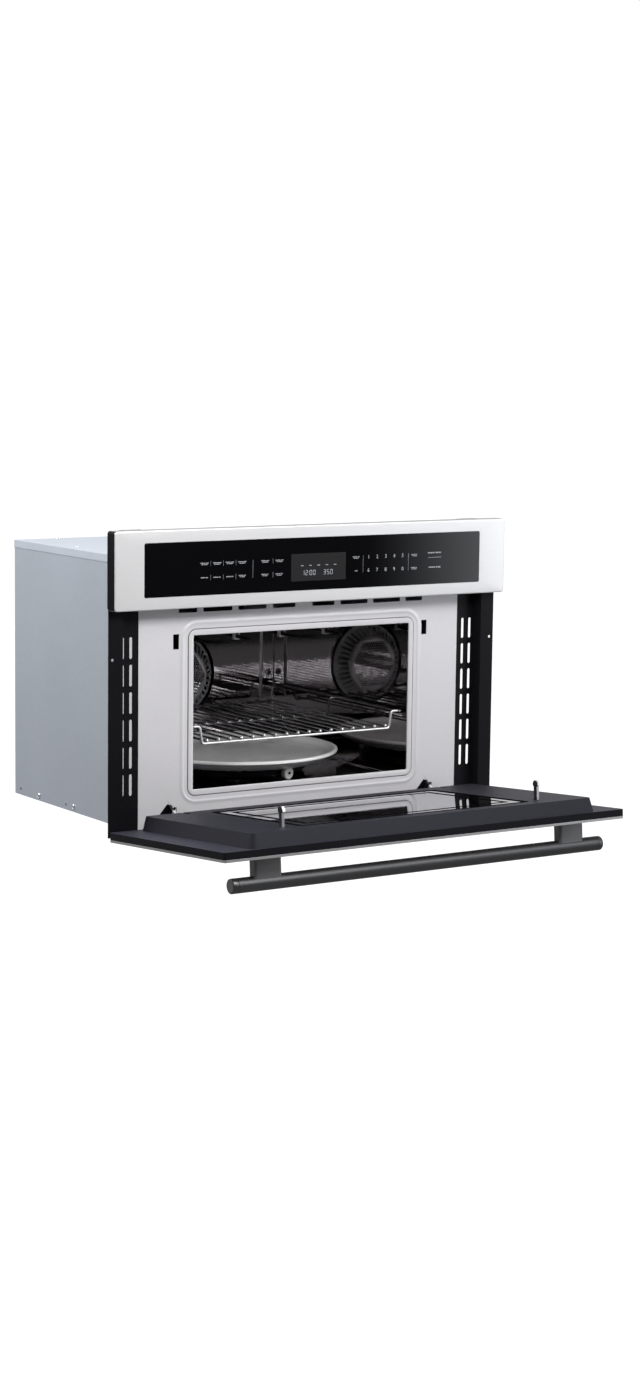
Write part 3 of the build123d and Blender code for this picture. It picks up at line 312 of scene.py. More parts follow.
def coated(tree, inputs, share, tone, tones, rough, height, relief):
    """Tone and roughness that vary together, and a relief of a strength and a depth in millimetres."""
    mixed(tree, inputs, share, *[toned(tone, strength) for strength in tones])
    tree.links.new(spread(tree, share, *rough), inputs["Roughness"])
    bump = add(tree, "ShaderNodeBump", {"Height": height, "Strength": relief[0], "Distance": relief[1] * MM})
    tree.links.new(bump.outputs[0], inputs["Normal"])


def brushed_finish(group, name, tone, low, high, metallic=1.0):
    """Brushed steel."""
    tree, inputs = dressed(name, Metallic=metallic)
    grain = use(tree, group)["Grain"]
    coated(tree, inputs, grain, tone, (0.90, 1.06), (low, high), grain, (0.06, 0.05))


def sheet_finish(group, name, tone, metallic, low, high, flake=260.0):
    """Coated or bare sheet metal."""
    tree, inputs = dressed(name, Metallic=metallic)
    mottle = use(tree, group, Flake_scale=flake)
    do = partial(math_node, tree)
    both = do("ADD", do("MULTIPLY", mottle["Cloud"], 0.7), do("MULTIPLY", mottle["Flakes"], 0.3))
    coated(tree, inputs, both, tone, (0.92, 1.08), (low, high), mottle["Cloud"], (0.03, 0.6))


def mould_finish(group, name, tone, low, high, relief=0.12, grain=1500.0, shine=0.5):
    """Moulded plastic or satin paint."""
    tree, inputs = dressed(name, Specular_IOR_Level=shine)
    mould = use(tree, group, Grain_scale=grain)
    coated(tree, inputs, mould["Tone"], tone, (0.90, 1.12), (low, high), mould["Height"], (relief, 0.06))


def polished_finish(group, name, tone, low, high, metallic=1.0, wave=0.04):
    """Polished metal or glass."""
    tree, inputs = dressed(name, Metallic=metallic)
    marks = use(tree, group)
    coated(tree, inputs, marks["Marks"], tone, (0.92, 1.06), (low, high), marks["Waves"], (wave, 2.0))
    return tree, inputs


def plain_mesh(holder):
    """The evaluated shape of an object as a mesh of its own; the object goes."""
    graph = bpy.context.evaluated_depsgraph_get()
    mesh = bpy.data.meshes.new_from_object(holder.evaluated_get(graph), depsgraph=graph)
    holder.modifiers.clear()
    bpy.data.objects.remove(holder)
    return mesh


def held(name, mesh):
    """A working object in the scene."""
    holder = bpy.data.objects.new(name, mesh)
    bpy.context.scene.collection.objects.link(holder)
    return holder


def finished(name, mesh, body, slot, material=None, stands_for=()):
    """A finished piece of the object that moves with a body."""
    piece = held(name, mesh)
    mesh.name = name
    mesh.materials.clear()
    mesh.materials.append(bpy.data.materials[material or slot])
    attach(piece, body)
    if stands_for:
        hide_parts(*stands_for)
    return piece


def bare_mesh(shape, name):
    """Turns a working shape into a smooth mesh as it is."""
    mesh = bpy.data.meshes.new(name)
    shape.to_mesh(mesh)
    shape.free()
    mesh.polygons.foreach_set("use_smooth", [True] * len(mesh.polygons))
    return mesh


def shape_to_mesh(shape, name, angle=35.0):
    """Turns a working shape into a mesh with outward faces and smooth rounds."""
    bmesh.ops.recalc_face_normals(shape, faces=shape.faces)
    mesh = bare_mesh(shape, name)
    mesh.set_sharp_from_angle(angle=math.radians(angle))
    return mesh


def formed(name, shape, slot, material=None, body="cabinet", stands_for=(), angle=35.0):
    """A finished piece from a working shape."""
    return finished(name, shape_to_mesh(shape, name, angle), body, slot, material, stands_for)


def node_shape(node):
    """A CAD node's shape with its seams closed."""
    mesh = NODES[node].data.copy()
    for layer in ("custom_normal", "sharp_edge", "sharp_face"):
        found = mesh.attributes.get(layer)
        if found is not None:
            mesh.attributes.remove(found)
    shape = bmesh.new()
    shape.from_mesh(mesh)
    bpy.data.meshes.remove(mesh)
    bmesh.ops.remove_doubles(shape, verts=shape.verts, dist=0.002 * MM)
    return shape


def softened(node, width, material=None, segments=2, reshape=None):
    """A CAD node with small rounds on its edges, in place of the node; its shape may be changed first."""
    shape = node_shape(node)
    if reshape:
        reshape(shape)
    bmesh.ops.dissolve_limit(
        shape, angle_limit=math.radians(0.6), verts=shape.verts, edges=shape.edges, delimit=set())
    holder = held(node, bare_mesh(shape, node))
    rounds = holder.modifiers.new("Rounds", "BEVEL")
    rounds.width = width
    rounds.segments = segments
    rounds.limit_method = "ANGLE"
    rounds.angle_limit = math.radians(32.0)
    rounds.use_clamp_overlap = True
    rounds.harden_normals = True
    return finished(node + "_rounded", plain_mesh(holder), BODY_OF[node], SLOT_OF[node], material, (node,))


def two_tone(piece, material, test):
    """A second material on the faces whose normals pass a test."""
    piece.data.materials.append(bpy.data.materials[material])
    for face in piece.data.polygons:
        if test(face.normal):
            face.material_index = 1


def islands(node):
    """Lowest and highest corners of each separate solid in a node."""
    shape = node_shape(node)
    left = set(shape.verts)
    boxes = []
    while left:
        reached = [left.pop()]
        found = []
        while reached:
            corner = reached.pop()
            found.append(corner.co.copy())
            for edge in corner.link_edges:
                other = edge.other_vert(corner)
                if other in left:
                    left.remove(other)
                    reached.append(other)
        low = Vector([min(point[axis] for point in found) for axis in range(3)])
        high = Vector([max(point[axis] for point in found) for axis in range(3)])
        boxes.append((low, high))
    shape.free()
    return boxes


def loop_of(shape, points):
    """Corners of one loop."""
    return [shape.verts.new(point) for point in points]


def loft(shape, loops, parts=1, gaps=0):
    """Faces between loops of equally many corners; of every few parts the first ones may stay open."""
    for first, second in zip(loops, loops[1:]):
        for here in range(len(first)):
            there = (here + 1) % len(first)
            if here % parts >= gaps:
                shape.faces.new((first[here], first[there], second[there], second[here]))


def capped(shape, loops):
    """Faces between loops, with the first and the last one filled."""
    loft(shape, loops)
    shape.faces.new(loops[0])
    shape.faces.new(loops[-1])


def scaled(rows, across=0.0, up=0.0):
    """Pairs of millimetres as lengths from a place."""
    return [(across + first * MM, up + second * MM) for first, second in rows]


def circle(radius, steps):
    """Points of a circle about its middle."""
    turns = [2 * math.pi * step / steps for step in range(steps)]
    return [(radius * math.cos(turn), radius * math.sin(turn)) for turn in turns]


def rounded_rectangle(width, height, radius, steps=8):
    """Points of a rectangle with round corners, about its middle."""
    points = []
    for corner, (across, up) in enumerate(((1, 1), (-1, 1), (-1, -1), (1, -1))):
        for step in range(steps + 1):
            angle = math.radians(90.0 * corner + 90.0 * step / steps)
            points.append((across * (width / 2 - radius) + radius * math.cos(angle),
                           up * (height / 2 - radius) + radius * math.sin(angle)))
    return points


def frames(shape, runs, place, steps):
    """Loops of rounded rectangles; a run is width, height, corner radius and place along Y."""
    return [loop_of(shape, [place @ Vector((across, along, up))
                            for across, up in rounded_rectangle(width, height, radius, steps)])
            for width, height, radius, along in runs]


def ring(shape, runs, place, steps):
    """A closed ring through rounded rectangles."""
    loops = frames(shape, runs, place, steps)
    loft(shape, [*loops, loops[0]])


def turned(shape, profile, steps, place):
    """A turned solid; the profile is a run of radius and height, place puts it."""
    rings = []
    for radius, height in profile:
        points = circle(radius, steps) if radius > 1e-6 else [(0.0, 0.0)]
        rings.append(loop_of(shape, [place @ Vector((*point, height)) for point in points]))
    for first, second in zip(rings, rings[1:]):
        for here in range(steps):
            there = (here + 1) % steps
            if len(first) == 1 and len(second) > 1:
                shape.faces.new((first[0], second[here], second[there]))
            elif len(second) == 1 and len(first) > 1:
                shape.faces.new((first[here], first[there], second[0]))
            elif len(first) > 1:
                shape.faces.new((first[here], first[there], second[there], second[here]))


def swept(shape, path, radius, sides=12):
    """A round rod along a path, with domed ends."""
    def ring_at(point, forward, side, grown):
        other = forward.cross(side)
        return loop_of(shape, [point + across * side + up * other for across, up in circle(grown, sides)])

    def dome(point, forward, side, outs):
        return [ring_at(point + forward * radius * out, forward, side, radius * math.sqrt(1.0 - out ** 2))
                for out in outs]

    path = [Vector(point) for point in path]
    start = (path[1] - path[0]).normalized()
    finish = (path[-1] - path[-2]).normalized()
    side = start.orthogonal().normalized()
    rings = dome(path[0], start, side, (-0.9, -0.55))
    for number, point in enumerate(path):
        before = (point - path[number - 1]).normalized() if number else start
        after = (path[number + 1] - point).normalized() if number + 1 < len(path) else finish
        forward = (before + after).normalized()
        side = (side - side.dot(forward) * forward).normalized()
        rings.append(ring_at(point, forward, side, radius))
    capped(shape, rings + dome(path[-1], finish, side, (0.55, 0.9)))


def bent(corners, radius, steps=5):
    """A path with its inner corners rounded."""
    corners = [Vector(corner) for corner in corners]
    path = [corners[0]]
    for before, corner, after in zip(corners, corners[1:], corners[2:]):
        back = (before - corner).normalized()
        ahead = (after - corner).normalized()
        reach = radius / math.tan(back.angle(ahead) / 2)
        first, last = corner + back * reach, corner + ahead * reach
        for step in range(steps + 1):
            share = step / steps
            path.append((1 - share) ** 2 * first + 2 * share * (1 - share) * corner + share ** 2 * last)
    path.append(corners[-1])
    return path


def block(shape, low, high):
    """A box between two corners."""
    made = bmesh.ops.create_cube(shape, size=1.0)["verts"]
    middle = (low + high) / 2
    for corner in made:
        corner.co = Vector([middle[axis] + corner.co[axis] * (high[axis] - low[axis]) for axis in range(3)])


def facing(place, axis, way=1):
    """Puts a turned solid at a place, a quarter turned about an axis."""
    return Matrix.Translation(place) @ Matrix.Rotation(way * math.pi / 2, 4, axis)


def opened(place=(0.0, 0.0, 0.0)):
    """Moves a place on the closed door to the open door."""
    hinge = next(joint for joint in frame["joints"] if joint["name"] == "door_hinge")
    pivot = Matrix.Translation(hinge["pos_m"])
    turn = Matrix.Rotation(-math.radians(hinge["range_deg"][0]), 4, Vector(hinge["axis"]))
    return pivot @ turn @ pivot.inverted() @ Matrix.Translation(place)


def run_tree(tree, mesh, **values):
    """The plain result of a geometry tree over a mesh."""
    holder = held(tree.name, mesh)
    modifier = holder.modifiers.new(tree.name, "NODES")
    modifier.node_group = tree
    for item in tree.interface.items_tree:
        if item.in_out == "INPUT" and item.name in values:
            modifier[item.identifier] = values[item.name]
    return plain_mesh(holder)


def point_mesh(points, **vectors):
    """Loose points that carry vectors."""
    mesh = bpy.data.meshes.new("points")
    mesh.from_pydata([tuple(point) for point in points], [], [])
    for label, rows in vectors.items():
        layer = mesh.attributes.new(label, "FLOAT_VECTOR", "POINT")
        layer.data.foreach_set("vector", [part for row in rows for part in row])
    return mesh


def geometry_tree(name, *inputs):
    """A geometry tree, its inputs, and a way to close it with one thing on each of some points."""
    tree, start, end = new_group(
        name, "GeometryNodeTree", [("Geometry", "NodeSocketGeometry", None), *inputs],
        [("Geometry", "NodeSocketGeometry")])

    def close(points, thing, **settings):
        placed = add(tree, "GeometryNodeInstanceOnPoints", {"Points": points, "Instance": thing, **settings})
        real = add(tree, "GeometryNodeRealizeInstances", {0: placed.outputs[0]})
        tree.links.new(real.outputs[0], end.inputs[0])
        return tree

    return tree, start.outputs, close


def carried(tree, label):
    """A vector that each point carries."""
    return add(tree, "GeometryNodeInputNamedAttribute", {"Name": label}, data_type="FLOAT_VECTOR").outputs[0]


def mark_tree():
    """Small flat marks: one box of its own size on each point."""
    tree, given, close = geometry_tree("Printed marks")
    box = add(tree, "GeometryNodeMeshCube").outputs["Mesh"]
    return close(given["Geometry"], box, Scale=carried(tree, "size"))


def fastener_tree():
    """One screw head on each point, facing the way the point gives, turned at random."""
    tree, given, close = geometry_tree(
        "Fasteners", ("Head", "NodeSocketObject", None), ("Seed", "NodeSocketInt", 7))
    aimed = add(tree, "FunctionNodeAlignRotationToVector", {"Vector": carried(tree, "aim")}, axis="Z")
    angle = add(tree, "FunctionNodeRandomValue", {"Seed": given["Seed"], 3: math.pi}, data_type="FLOAT")
    spin = add(tree, "FunctionNodeAxisAngleToRotation", {"Angle": angle.outputs[1]})
    spun = add(tree, "FunctionNodeRotateRotation", {
        0: aimed.outputs[0], 1: spin.outputs[0]}, rotation_space="LOCAL")
    head = add(tree, "GeometryNodeObjectInfo", {"Object": given["Head"]})
    return close(given["Geometry"], head.outputs["Geometry"], Rotation=spun.outputs[0])


def wire_tree():
    """A row of equal wires with domed ends, along Y."""
    tree, given, close = geometry_tree(
        "Wire row", ("Count", "NodeSocketInt", 17), ("Pitch", "NodeSocketFloat", 0.022),
        ("Length", "NodeSocketFloat", 0.38), ("Radius", "NodeSocketFloat", 0.0018),
        ("Ends", "NodeSocketFloat", 0.0023), ("Middle", "NodeSocketVector", None))
    rod = add(tree, "GeometryNodeMeshCylinder", {
        "Vertices": 12, "Radius": given["Radius"], "Depth": given["Length"]}, fill_type="NONE")
    ball = add(tree, "GeometryNodeMeshUVSphere", {"Segments": 12, "Rings": 6, "Radius": given["Ends"]})
    wire = add(tree, "GeometryNodeJoinGeometry", {0: rod.outputs["Mesh"]})
    do = partial(math_node, tree)
    for way in (0.5, -0.5):
        shift = vector(tree, Z=do("MULTIPLY", given["Length"], way))
        end = add(tree, "GeometryNodeTransform", {"Geometry": ball.outputs["Mesh"], "Translation": shift})
        tree.links.new(end.outputs[0], wire.inputs[0])
    laid = add(tree, "GeometryNodeTransform", {
        "Geometry": wire.outputs[0], "Rotation": (math.pi / 2, 0.0, 0.0)})
    smooth = add(tree, "GeometryNodeSetShadeSmooth", {0: laid.outputs[0]})
    half = do("MULTIPLY", do("SUBTRACT", given["Count"], 1.0), -0.5)
    span = vector(tree, X=do("MULTIPLY", given["Pitch"], half))
    first = vector_node(tree, "ADD", given["Middle"], span).outputs[0]
    row = add(tree, "GeometryNodeMeshLine", {
        "Count": given["Count"], "Start Location": first, "Offset": vector(tree, X=given["Pitch"])})
    return close(row.outputs[0], smooth.outputs[0])


def lattice_tree():
    """A six-sided field of cells, one on each point of a staggered lattice."""
    tree, given, close = geometry_tree(
        "Perforated field", ("Cell", "NodeSocketObject", None), ("Rings", "NodeSocketInt", 10),
        ("Pitch", "NodeSocketFloat", 0.004))
    do = partial(math_node, tree)
    rings, pitch = given["Rings"], given["Pitch"]
    side = do("ADD", do("MULTIPLY", rings, 2.0), 1.0)
    number = add(tree, "GeometryNodeInputIndex").outputs[0]
    column = do("SUBTRACT", do("MODULO", number, side), rings)
    row = do("SUBTRACT", do("FLOOR", do("DIVIDE", do("ADD", number, 0.5), side)), rings)
    across = do("ADD", column, do("MULTIPLY", row, 0.5))
    up = do("MULTIPLY", row, math.sqrt(0.75))
    place = vector(tree, X=do("MULTIPLY", across, pitch), Y=do("MULTIPLY", up, pitch))
    points = add(tree, "GeometryNodePoints", {"Count": do("MULTIPLY", side, side), "Position": place})
    outside = do("GREATER_THAN", do("ABSOLUTE", do("ADD", column, row)), do("ADD", rings, 0.5))
    field = add(tree, "GeometryNodeDeleteGeometry", {
        "Geometry": points.outputs[0], "Selection": outside}, domain="POINT")
    cell = add(tree, "GeometryNodeObjectInfo", {"Object": given["Cell"]})
    return close(field.outputs[0], cell.outputs["Geometry"])


class MICROWAVE_OT_finishes(bpy.types.Operator):
    """Make the finish of every surface"""

    bl_idname = "microwave.finishes"
    bl_label = "Finishes"

    def execute(self, context):
        colours = context.scene.microwave_colours
        smudge = smudge_group()
        sheet = partial(sheet_finish, mottle_group())
        sheet("cabinet_steel", colours.cabinet, 0.30, 0.40, 0.55)
        # painted light: the top cover's sheet is the cabinet's tone made lighter, as if lit from above
        sheet("lid_steel", toned(colours.cabinet, 1.25), 0.30, 0.40, 0.55)
        sheet("front_steel", colours.front, 0.20, 0.28, 0.40, 900.0)
        sheet("inner_metal", (0.55, 0.55, 0.56), 0.9, 0.30, 0.45, 500.0)
        sheet("core_iron", (0.10, 0.10, 0.105), 0.8, 0.45, 0.60, 500.0)
        sheet("zinc_screw", (0.80, 0.81, 0.83), 1.0, 0.18, 0.30, 1200.0)
        brushed = partial(brushed_finish, brushed_group())
        brushed("stainless", colours.stainless, 0.30, 0.42, 0.55)
        # painted shade: a darker copy of the stainless for the door skin's edges and the fascia's folds
        brushed("edge_steel", toned(colours.stainless, 0.45), 0.30, 0.42, 0.55)
        # painted shade: the handle's steel takes the darkened tone
        brushed("handle_steel", colours.handle, 0.34, 0.48)
        brushed("post_steel", colours.posts, 0.30, 0.42, 0.6)
        mould = partial(mould_finish, mould_group())
        mould("hinge_steel", (0.012, 0.012, 0.014), 0.36, 0.50, 0.06, shine=0.1)
        mould("black_trim", colours.trim, 0.30, 0.42, 0.06, shine=0.12)
        mould("black_plastic", colours.moulding, 0.34, 0.48, shine=0.12)
        mould("cap_plastic", colours.trim, 0.34, 0.48, shine=0.05)
        # painted light: a lighter copy of the door lining for the door frame's upward faces
        mould("flange_plastic", toned(colours.door_lining, 1.7), 0.46, 0.58, shine=0.15)
        mould("edge_plastic", (0.007, 0.007, 0.009), 0.40, 0.52, shine=0.08)
        # the hook heads' plastic, also laid as painted shade on the hooks' faces that look left
        mould("hook_plastic", (0.020, 0.020, 0.022), 0.36, 0.48, 0.06, shine=0.2)
        mould("rim_shade", (0.17, 0.165, 0.165), 0.50, 0.60, 0.0, shine=0.1)
        # painted shadow: a flat black without shine, laid where gaps and slots lie in shade
        mould("gap_black", (0.004, 0.004, 0.005), 0.80, 0.95, 0.0, shine=0.0)
        mould("charcoal_plastic", colours.door_lining, 0.46, 0.58, shine=0.15)
        mould("white_plastic", (0.88, 0.87, 0.85), 0.30, 0.42, 0.05)
        mould("heater_tube", (0.020, 0.019, 0.018), 0.40, 0.60, 0.10, shine=0.2)
        mould("mica", (0.46, 0.40, 0.30), 0.35, 0.55, 0.05, 300.0)
        mould("board", (0.03, 0.16, 0.07), 0.30, 0.45, 0.04)
        mould("print_ink", colours.ink, 0.35, 0.45, 0.0)
        mould("display_field", colours.display, 0.10, 0.16, 0.0)
        polished = partial(polished_finish, smudge)
        # partly painted shade: the cavity's steel is darker than bare polished steel
        polished("cavity_steel", colours.cavity, 0.012, 0.05, wave=0.02)
        polished("cavity_enamel", colours.enamel, 0.04, 0.10, wave=0.02)
        polished("cover_steel", colours.cover, 0.26, 0.36, 0.15)
        polished("chrome_wire", (0.90, 0.90, 0.91), 0.18, 0.26, 0.7)
        # painted shade: a darker copy of the rack's chrome wire for its rear rods and its wires
        polished("wire_steel", (0.36, 0.355, 0.37), 0.14, 0.22)
        polished("black_glass", colours.glass, 0.03, 0.07, 0.0, 0.0)
        tree, inputs = polished("tinted_glass", colours.pane, 0.02, 0.05, 1.0, 0.0)
        mixed(tree, inputs, use(tree, dots_group())["Dots"], colours.pane, toned(colours.pane, 0.8))
        self.tray(colours, smudge)
        return {"FINISHED"}

    def tray(self, colours, smudge):
        """Glazed ceramic, with painted shade darkening its flat and a painted highlight whitening its rim."""
        tree, inputs = dressed("tray_ceramic", Coat_Weight=0.3, Coat_Roughness=0.05)
        low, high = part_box("turntable_tray")
        edge = (high.x - low.x) / 2
        middle = ((low.x + high.x) / 2, (low.y + high.y) / 2, 0.0)
        spoke = vector_node(tree, "SUBTRACT", place_of(tree), middle).outputs[0]
        flat = vector_node(tree, "MULTIPLY", spoke, (1.0, 1.0, 0.0)).outputs[0]
        far = vector_node(tree, "LENGTH", flat).outputs["Value"]
        share = add(tree, "ShaderNodeMapRange", {
            "Value": far, "From Min": edge - 21 * MM, "From Max": edge - 14 * MM}).outputs[0]
        mixed(tree, inputs, share, colours.tray, colours.tray_rim_highlight)
        tree.links.new(spread(tree, use(tree, smudge)["Marks"], 0.16, 0.28), inputs["Roughness"])


class MICROWAVE_OT_sheet_metal(bpy.types.Operator):
    """Round the folds and cut edges of the cabinet's sheet"""

    bl_idname = "microwave.sheet_metal"
    bl_label = "Sheet Metal"

    def execute(self, context):
        sizes = context.scene.microwave_sizes
        softened("side_panels", sizes.pan_edge)
        softened("rear_motor_cover", sizes.pan_edge)
        # the top cover takes the lighter copy of the cabinet sheet, which is painted light
        softened("top_cover", sizes.pan_edge, "lid_steel")
        softened("trim_flanges", sizes.sheet_edge)
        softened("cord_gland", 0.5 * MM)
        self.lips()
        return {"FINISHED"}

    def lips(self):
        """The front plate's lips along the cabinet's sides, and two holes low on each side, painted as black discs
        of shade.
        """
        low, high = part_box("side_panels")
        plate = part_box("front_plate")[1].y
        foot, head, reach = 14 * MM, 432 * MM, 56 * MM
        hole = scaled(((0.0, -0.3), (2.2, -0.3), (2.2, 0.08), (0.0, 0.08)))
        lips, holes = bmesh.new(), bmesh.new()
        for side, aim in ((low.x, -1), (high.x, 1)):
            inner, outer = sorted((side - aim * 0.2 * MM, side + aim * 0.6 * MM))
            block(lips, Vector((inner, plate, foot)), Vector((outer, plate + reach, head)))
            for along, level in scaled(((199.8, 11.0), (32.6, 9.0))):
                turned(holes, hole, 20, facing((side, along, level), "Y", aim))
        formed("plate_lips", lips, "front_steel")
        # painted shade: black discs stand for the dark inside of the holes
        formed("side_holes", holes, "black_plastic")


class MICROWAVE_OT_front_plate(bpy.types.Operator):
    """Press the rims round the front plate's mouth and the creases at its hinge slots"""

    bl_idname = "microwave.front_plate"
    bl_label = "Front Plate"

    def execute(self, context):
        left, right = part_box("cavity_left_wall")[1].x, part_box("cavity_right_wall")[0].x
        mouth = (left, right, 64.5 * MM, 316.3 * MM)
        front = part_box("front_plate")[0].y + 0.8 * MM
        self.plate(mouth)
        rims = bmesh.new()
        self.rim(rims, mouth, front, (
            (0.0, -0.4), (0.0, 0.7), (0.35, 1.0), (1.0, 1.15), (8.4, 1.15), (9.0, 1.08), (9.5, 0.7),
            (9.9, 0.5), (10.6, 0.47), (16.2, 0.5), (17.2, 0.6), (18.4, 0.95), (19.4, 1.12), (20.2, 1.1),
            (21.2, 0.95), (22.8, 0.5), (24.2, 0.18), (25.5, 0.05), (27.0, 0.02), (27.0, -0.4)))
        for spot in (-254.0, 253.0):
            foot = Vector((spot * MM, front + 0.9 * MM, 45.0 * MM))
            bend, end = Vector((-3.5, 0.2, 7.0)) * MM, Vector((-8.0, 0.9, 15.0)) * MM
            swept(rims, [foot, foot + bend, foot + end], 1.5 * MM)
        formed("plate_rims", rims, "front_steel", angle=60.0)
        # painted shade: a darker ring on the groove's step stands for its shadow
        line = bmesh.new()
        self.rim(line, mouth, front, (
            (9.0, 0.3), (9.0, 1.12), (9.5, 0.74), (9.9, 0.54), (10.7, 0.51), (10.7, 0.3)))
        formed("rim_line", line, "front_steel", "rim_shade", angle=60.0)
        return {"FINISHED"}

    def rim(self, shape, mouth, front, profile):
        """A ring round the mouth; the profile is growth and lift in millimetres."""
        left, right, bottom, top = mouth
        inner, tight, wide, rise = 9.0, 1.6, 13.0, 13.0 / 11.0
        runs = []
        for grow, lift in profile:
            radius = tight + (wide - tight) * min(grow, inner) / inner + rise * max(0.0, grow - inner)
            runs.append((right - left + 2 * grow * MM, top - bottom + 2 * grow * MM, radius * MM,
                         front - lift * MM))
        ring(shape, runs, Matrix.Translation(((left + right) / 2, 0.0, (bottom + top) / 2)), 10)

    def plate(self, mouth):
        """The plate with tighter corners at its mouth."""
        left, right, bottom, top = mouth
        wide, tight, near = 6.0 * MM, 1.6 * MM, 0.1 * MM
        shape = node_shape("front_plate")
        for corner in shape.verts:
            across, aside = (left, 1.0) if corner.co.x < 0 else (right, -1.0)
            level, up = (bottom, 1.0) if corner.co.z < (bottom + top) / 2 else (top, -1.0)
            inward = Vector((aside, 0.0, up))
            heart = Vector((across, corner.co.y, level)) + wide * inward
            spoke = corner.co - heart
            outside = spoke.x * aside < 1e-7 and spoke.z * up < 1e-7
            if outside and abs(spoke.length - wide) < near:
                corner.co = heart + (tight - wide) * inward + spoke * (tight / wide)
        formed("plate", shape, "front_steel", stands_for=("front_plate",))


class MICROWAVE_OT_control_panel(bpy.types.Operator):
    """Round the control panel's sheet, caps and glass"""

    bl_idname = "microwave.control_panel"
    bl_label = "Control Panel"

    def execute(self, context):
        sizes = context.scene.microwave_sizes
        self.fascia(sizes)
        softened("end_caps", 1.0 * MM, "cap_plastic", 3)
        softened("control_glass", 0.3 * MM)
        return {"FINISHED"}

    def fascia(self, sizes):
        """The front sheet with its rolled edge, its window for the glass, and its two folds."""
        low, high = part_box("control_fascia")
        glass_low, glass_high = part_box("control_glass")
        sheet, gap, roll = 1.2 * MM, 0.3 * MM, sizes.fascia_roll
        middle = (low.z + high.z) / 2
        width, height = high.x - low.x, high.z - low.z
        hole = (glass_high.x - glass_low.x + 2 * gap, glass_high.z - glass_low.z + 2 * gap)
        runs = [(*hole, 3.0 * MM, low.y + sheet), (*hole, 3.0 * MM, low.y)]
        for step in range(6):
            angle = math.radians(90.0 * step / 5)
            inset = roll * (1.0 - math.sin(angle))
            runs.append((width - 2 * inset, height - 2 * inset, 5.0 * MM - 0.5 * inset,
                         low.y + sheet * (1.0 - math.cos(angle))))
        runs.append((width - 6.0 * MM, height - 6.0 * MM, 3.0 * MM, low.y + sheet))
        shape = bmesh.new()
        ring(shape, runs, Matrix.Translation((0.0, 0.0, middle)), 6)
        formed("fascia", shape, "stainless", stands_for=("control_fascia",), angle=40.0)
        folds = bmesh.new()
        reach = high.x - 3.0 * MM
        for level in (low.z, high.z - sheet):
            block(folds, Vector((-reach, low.y + sheet, level)), Vector((reach, high.y, level + sheet)))
        # painted shade: the folds take the darker copy of the stainless
        formed("fascia_folds", folds, "stainless", "edge_steel")


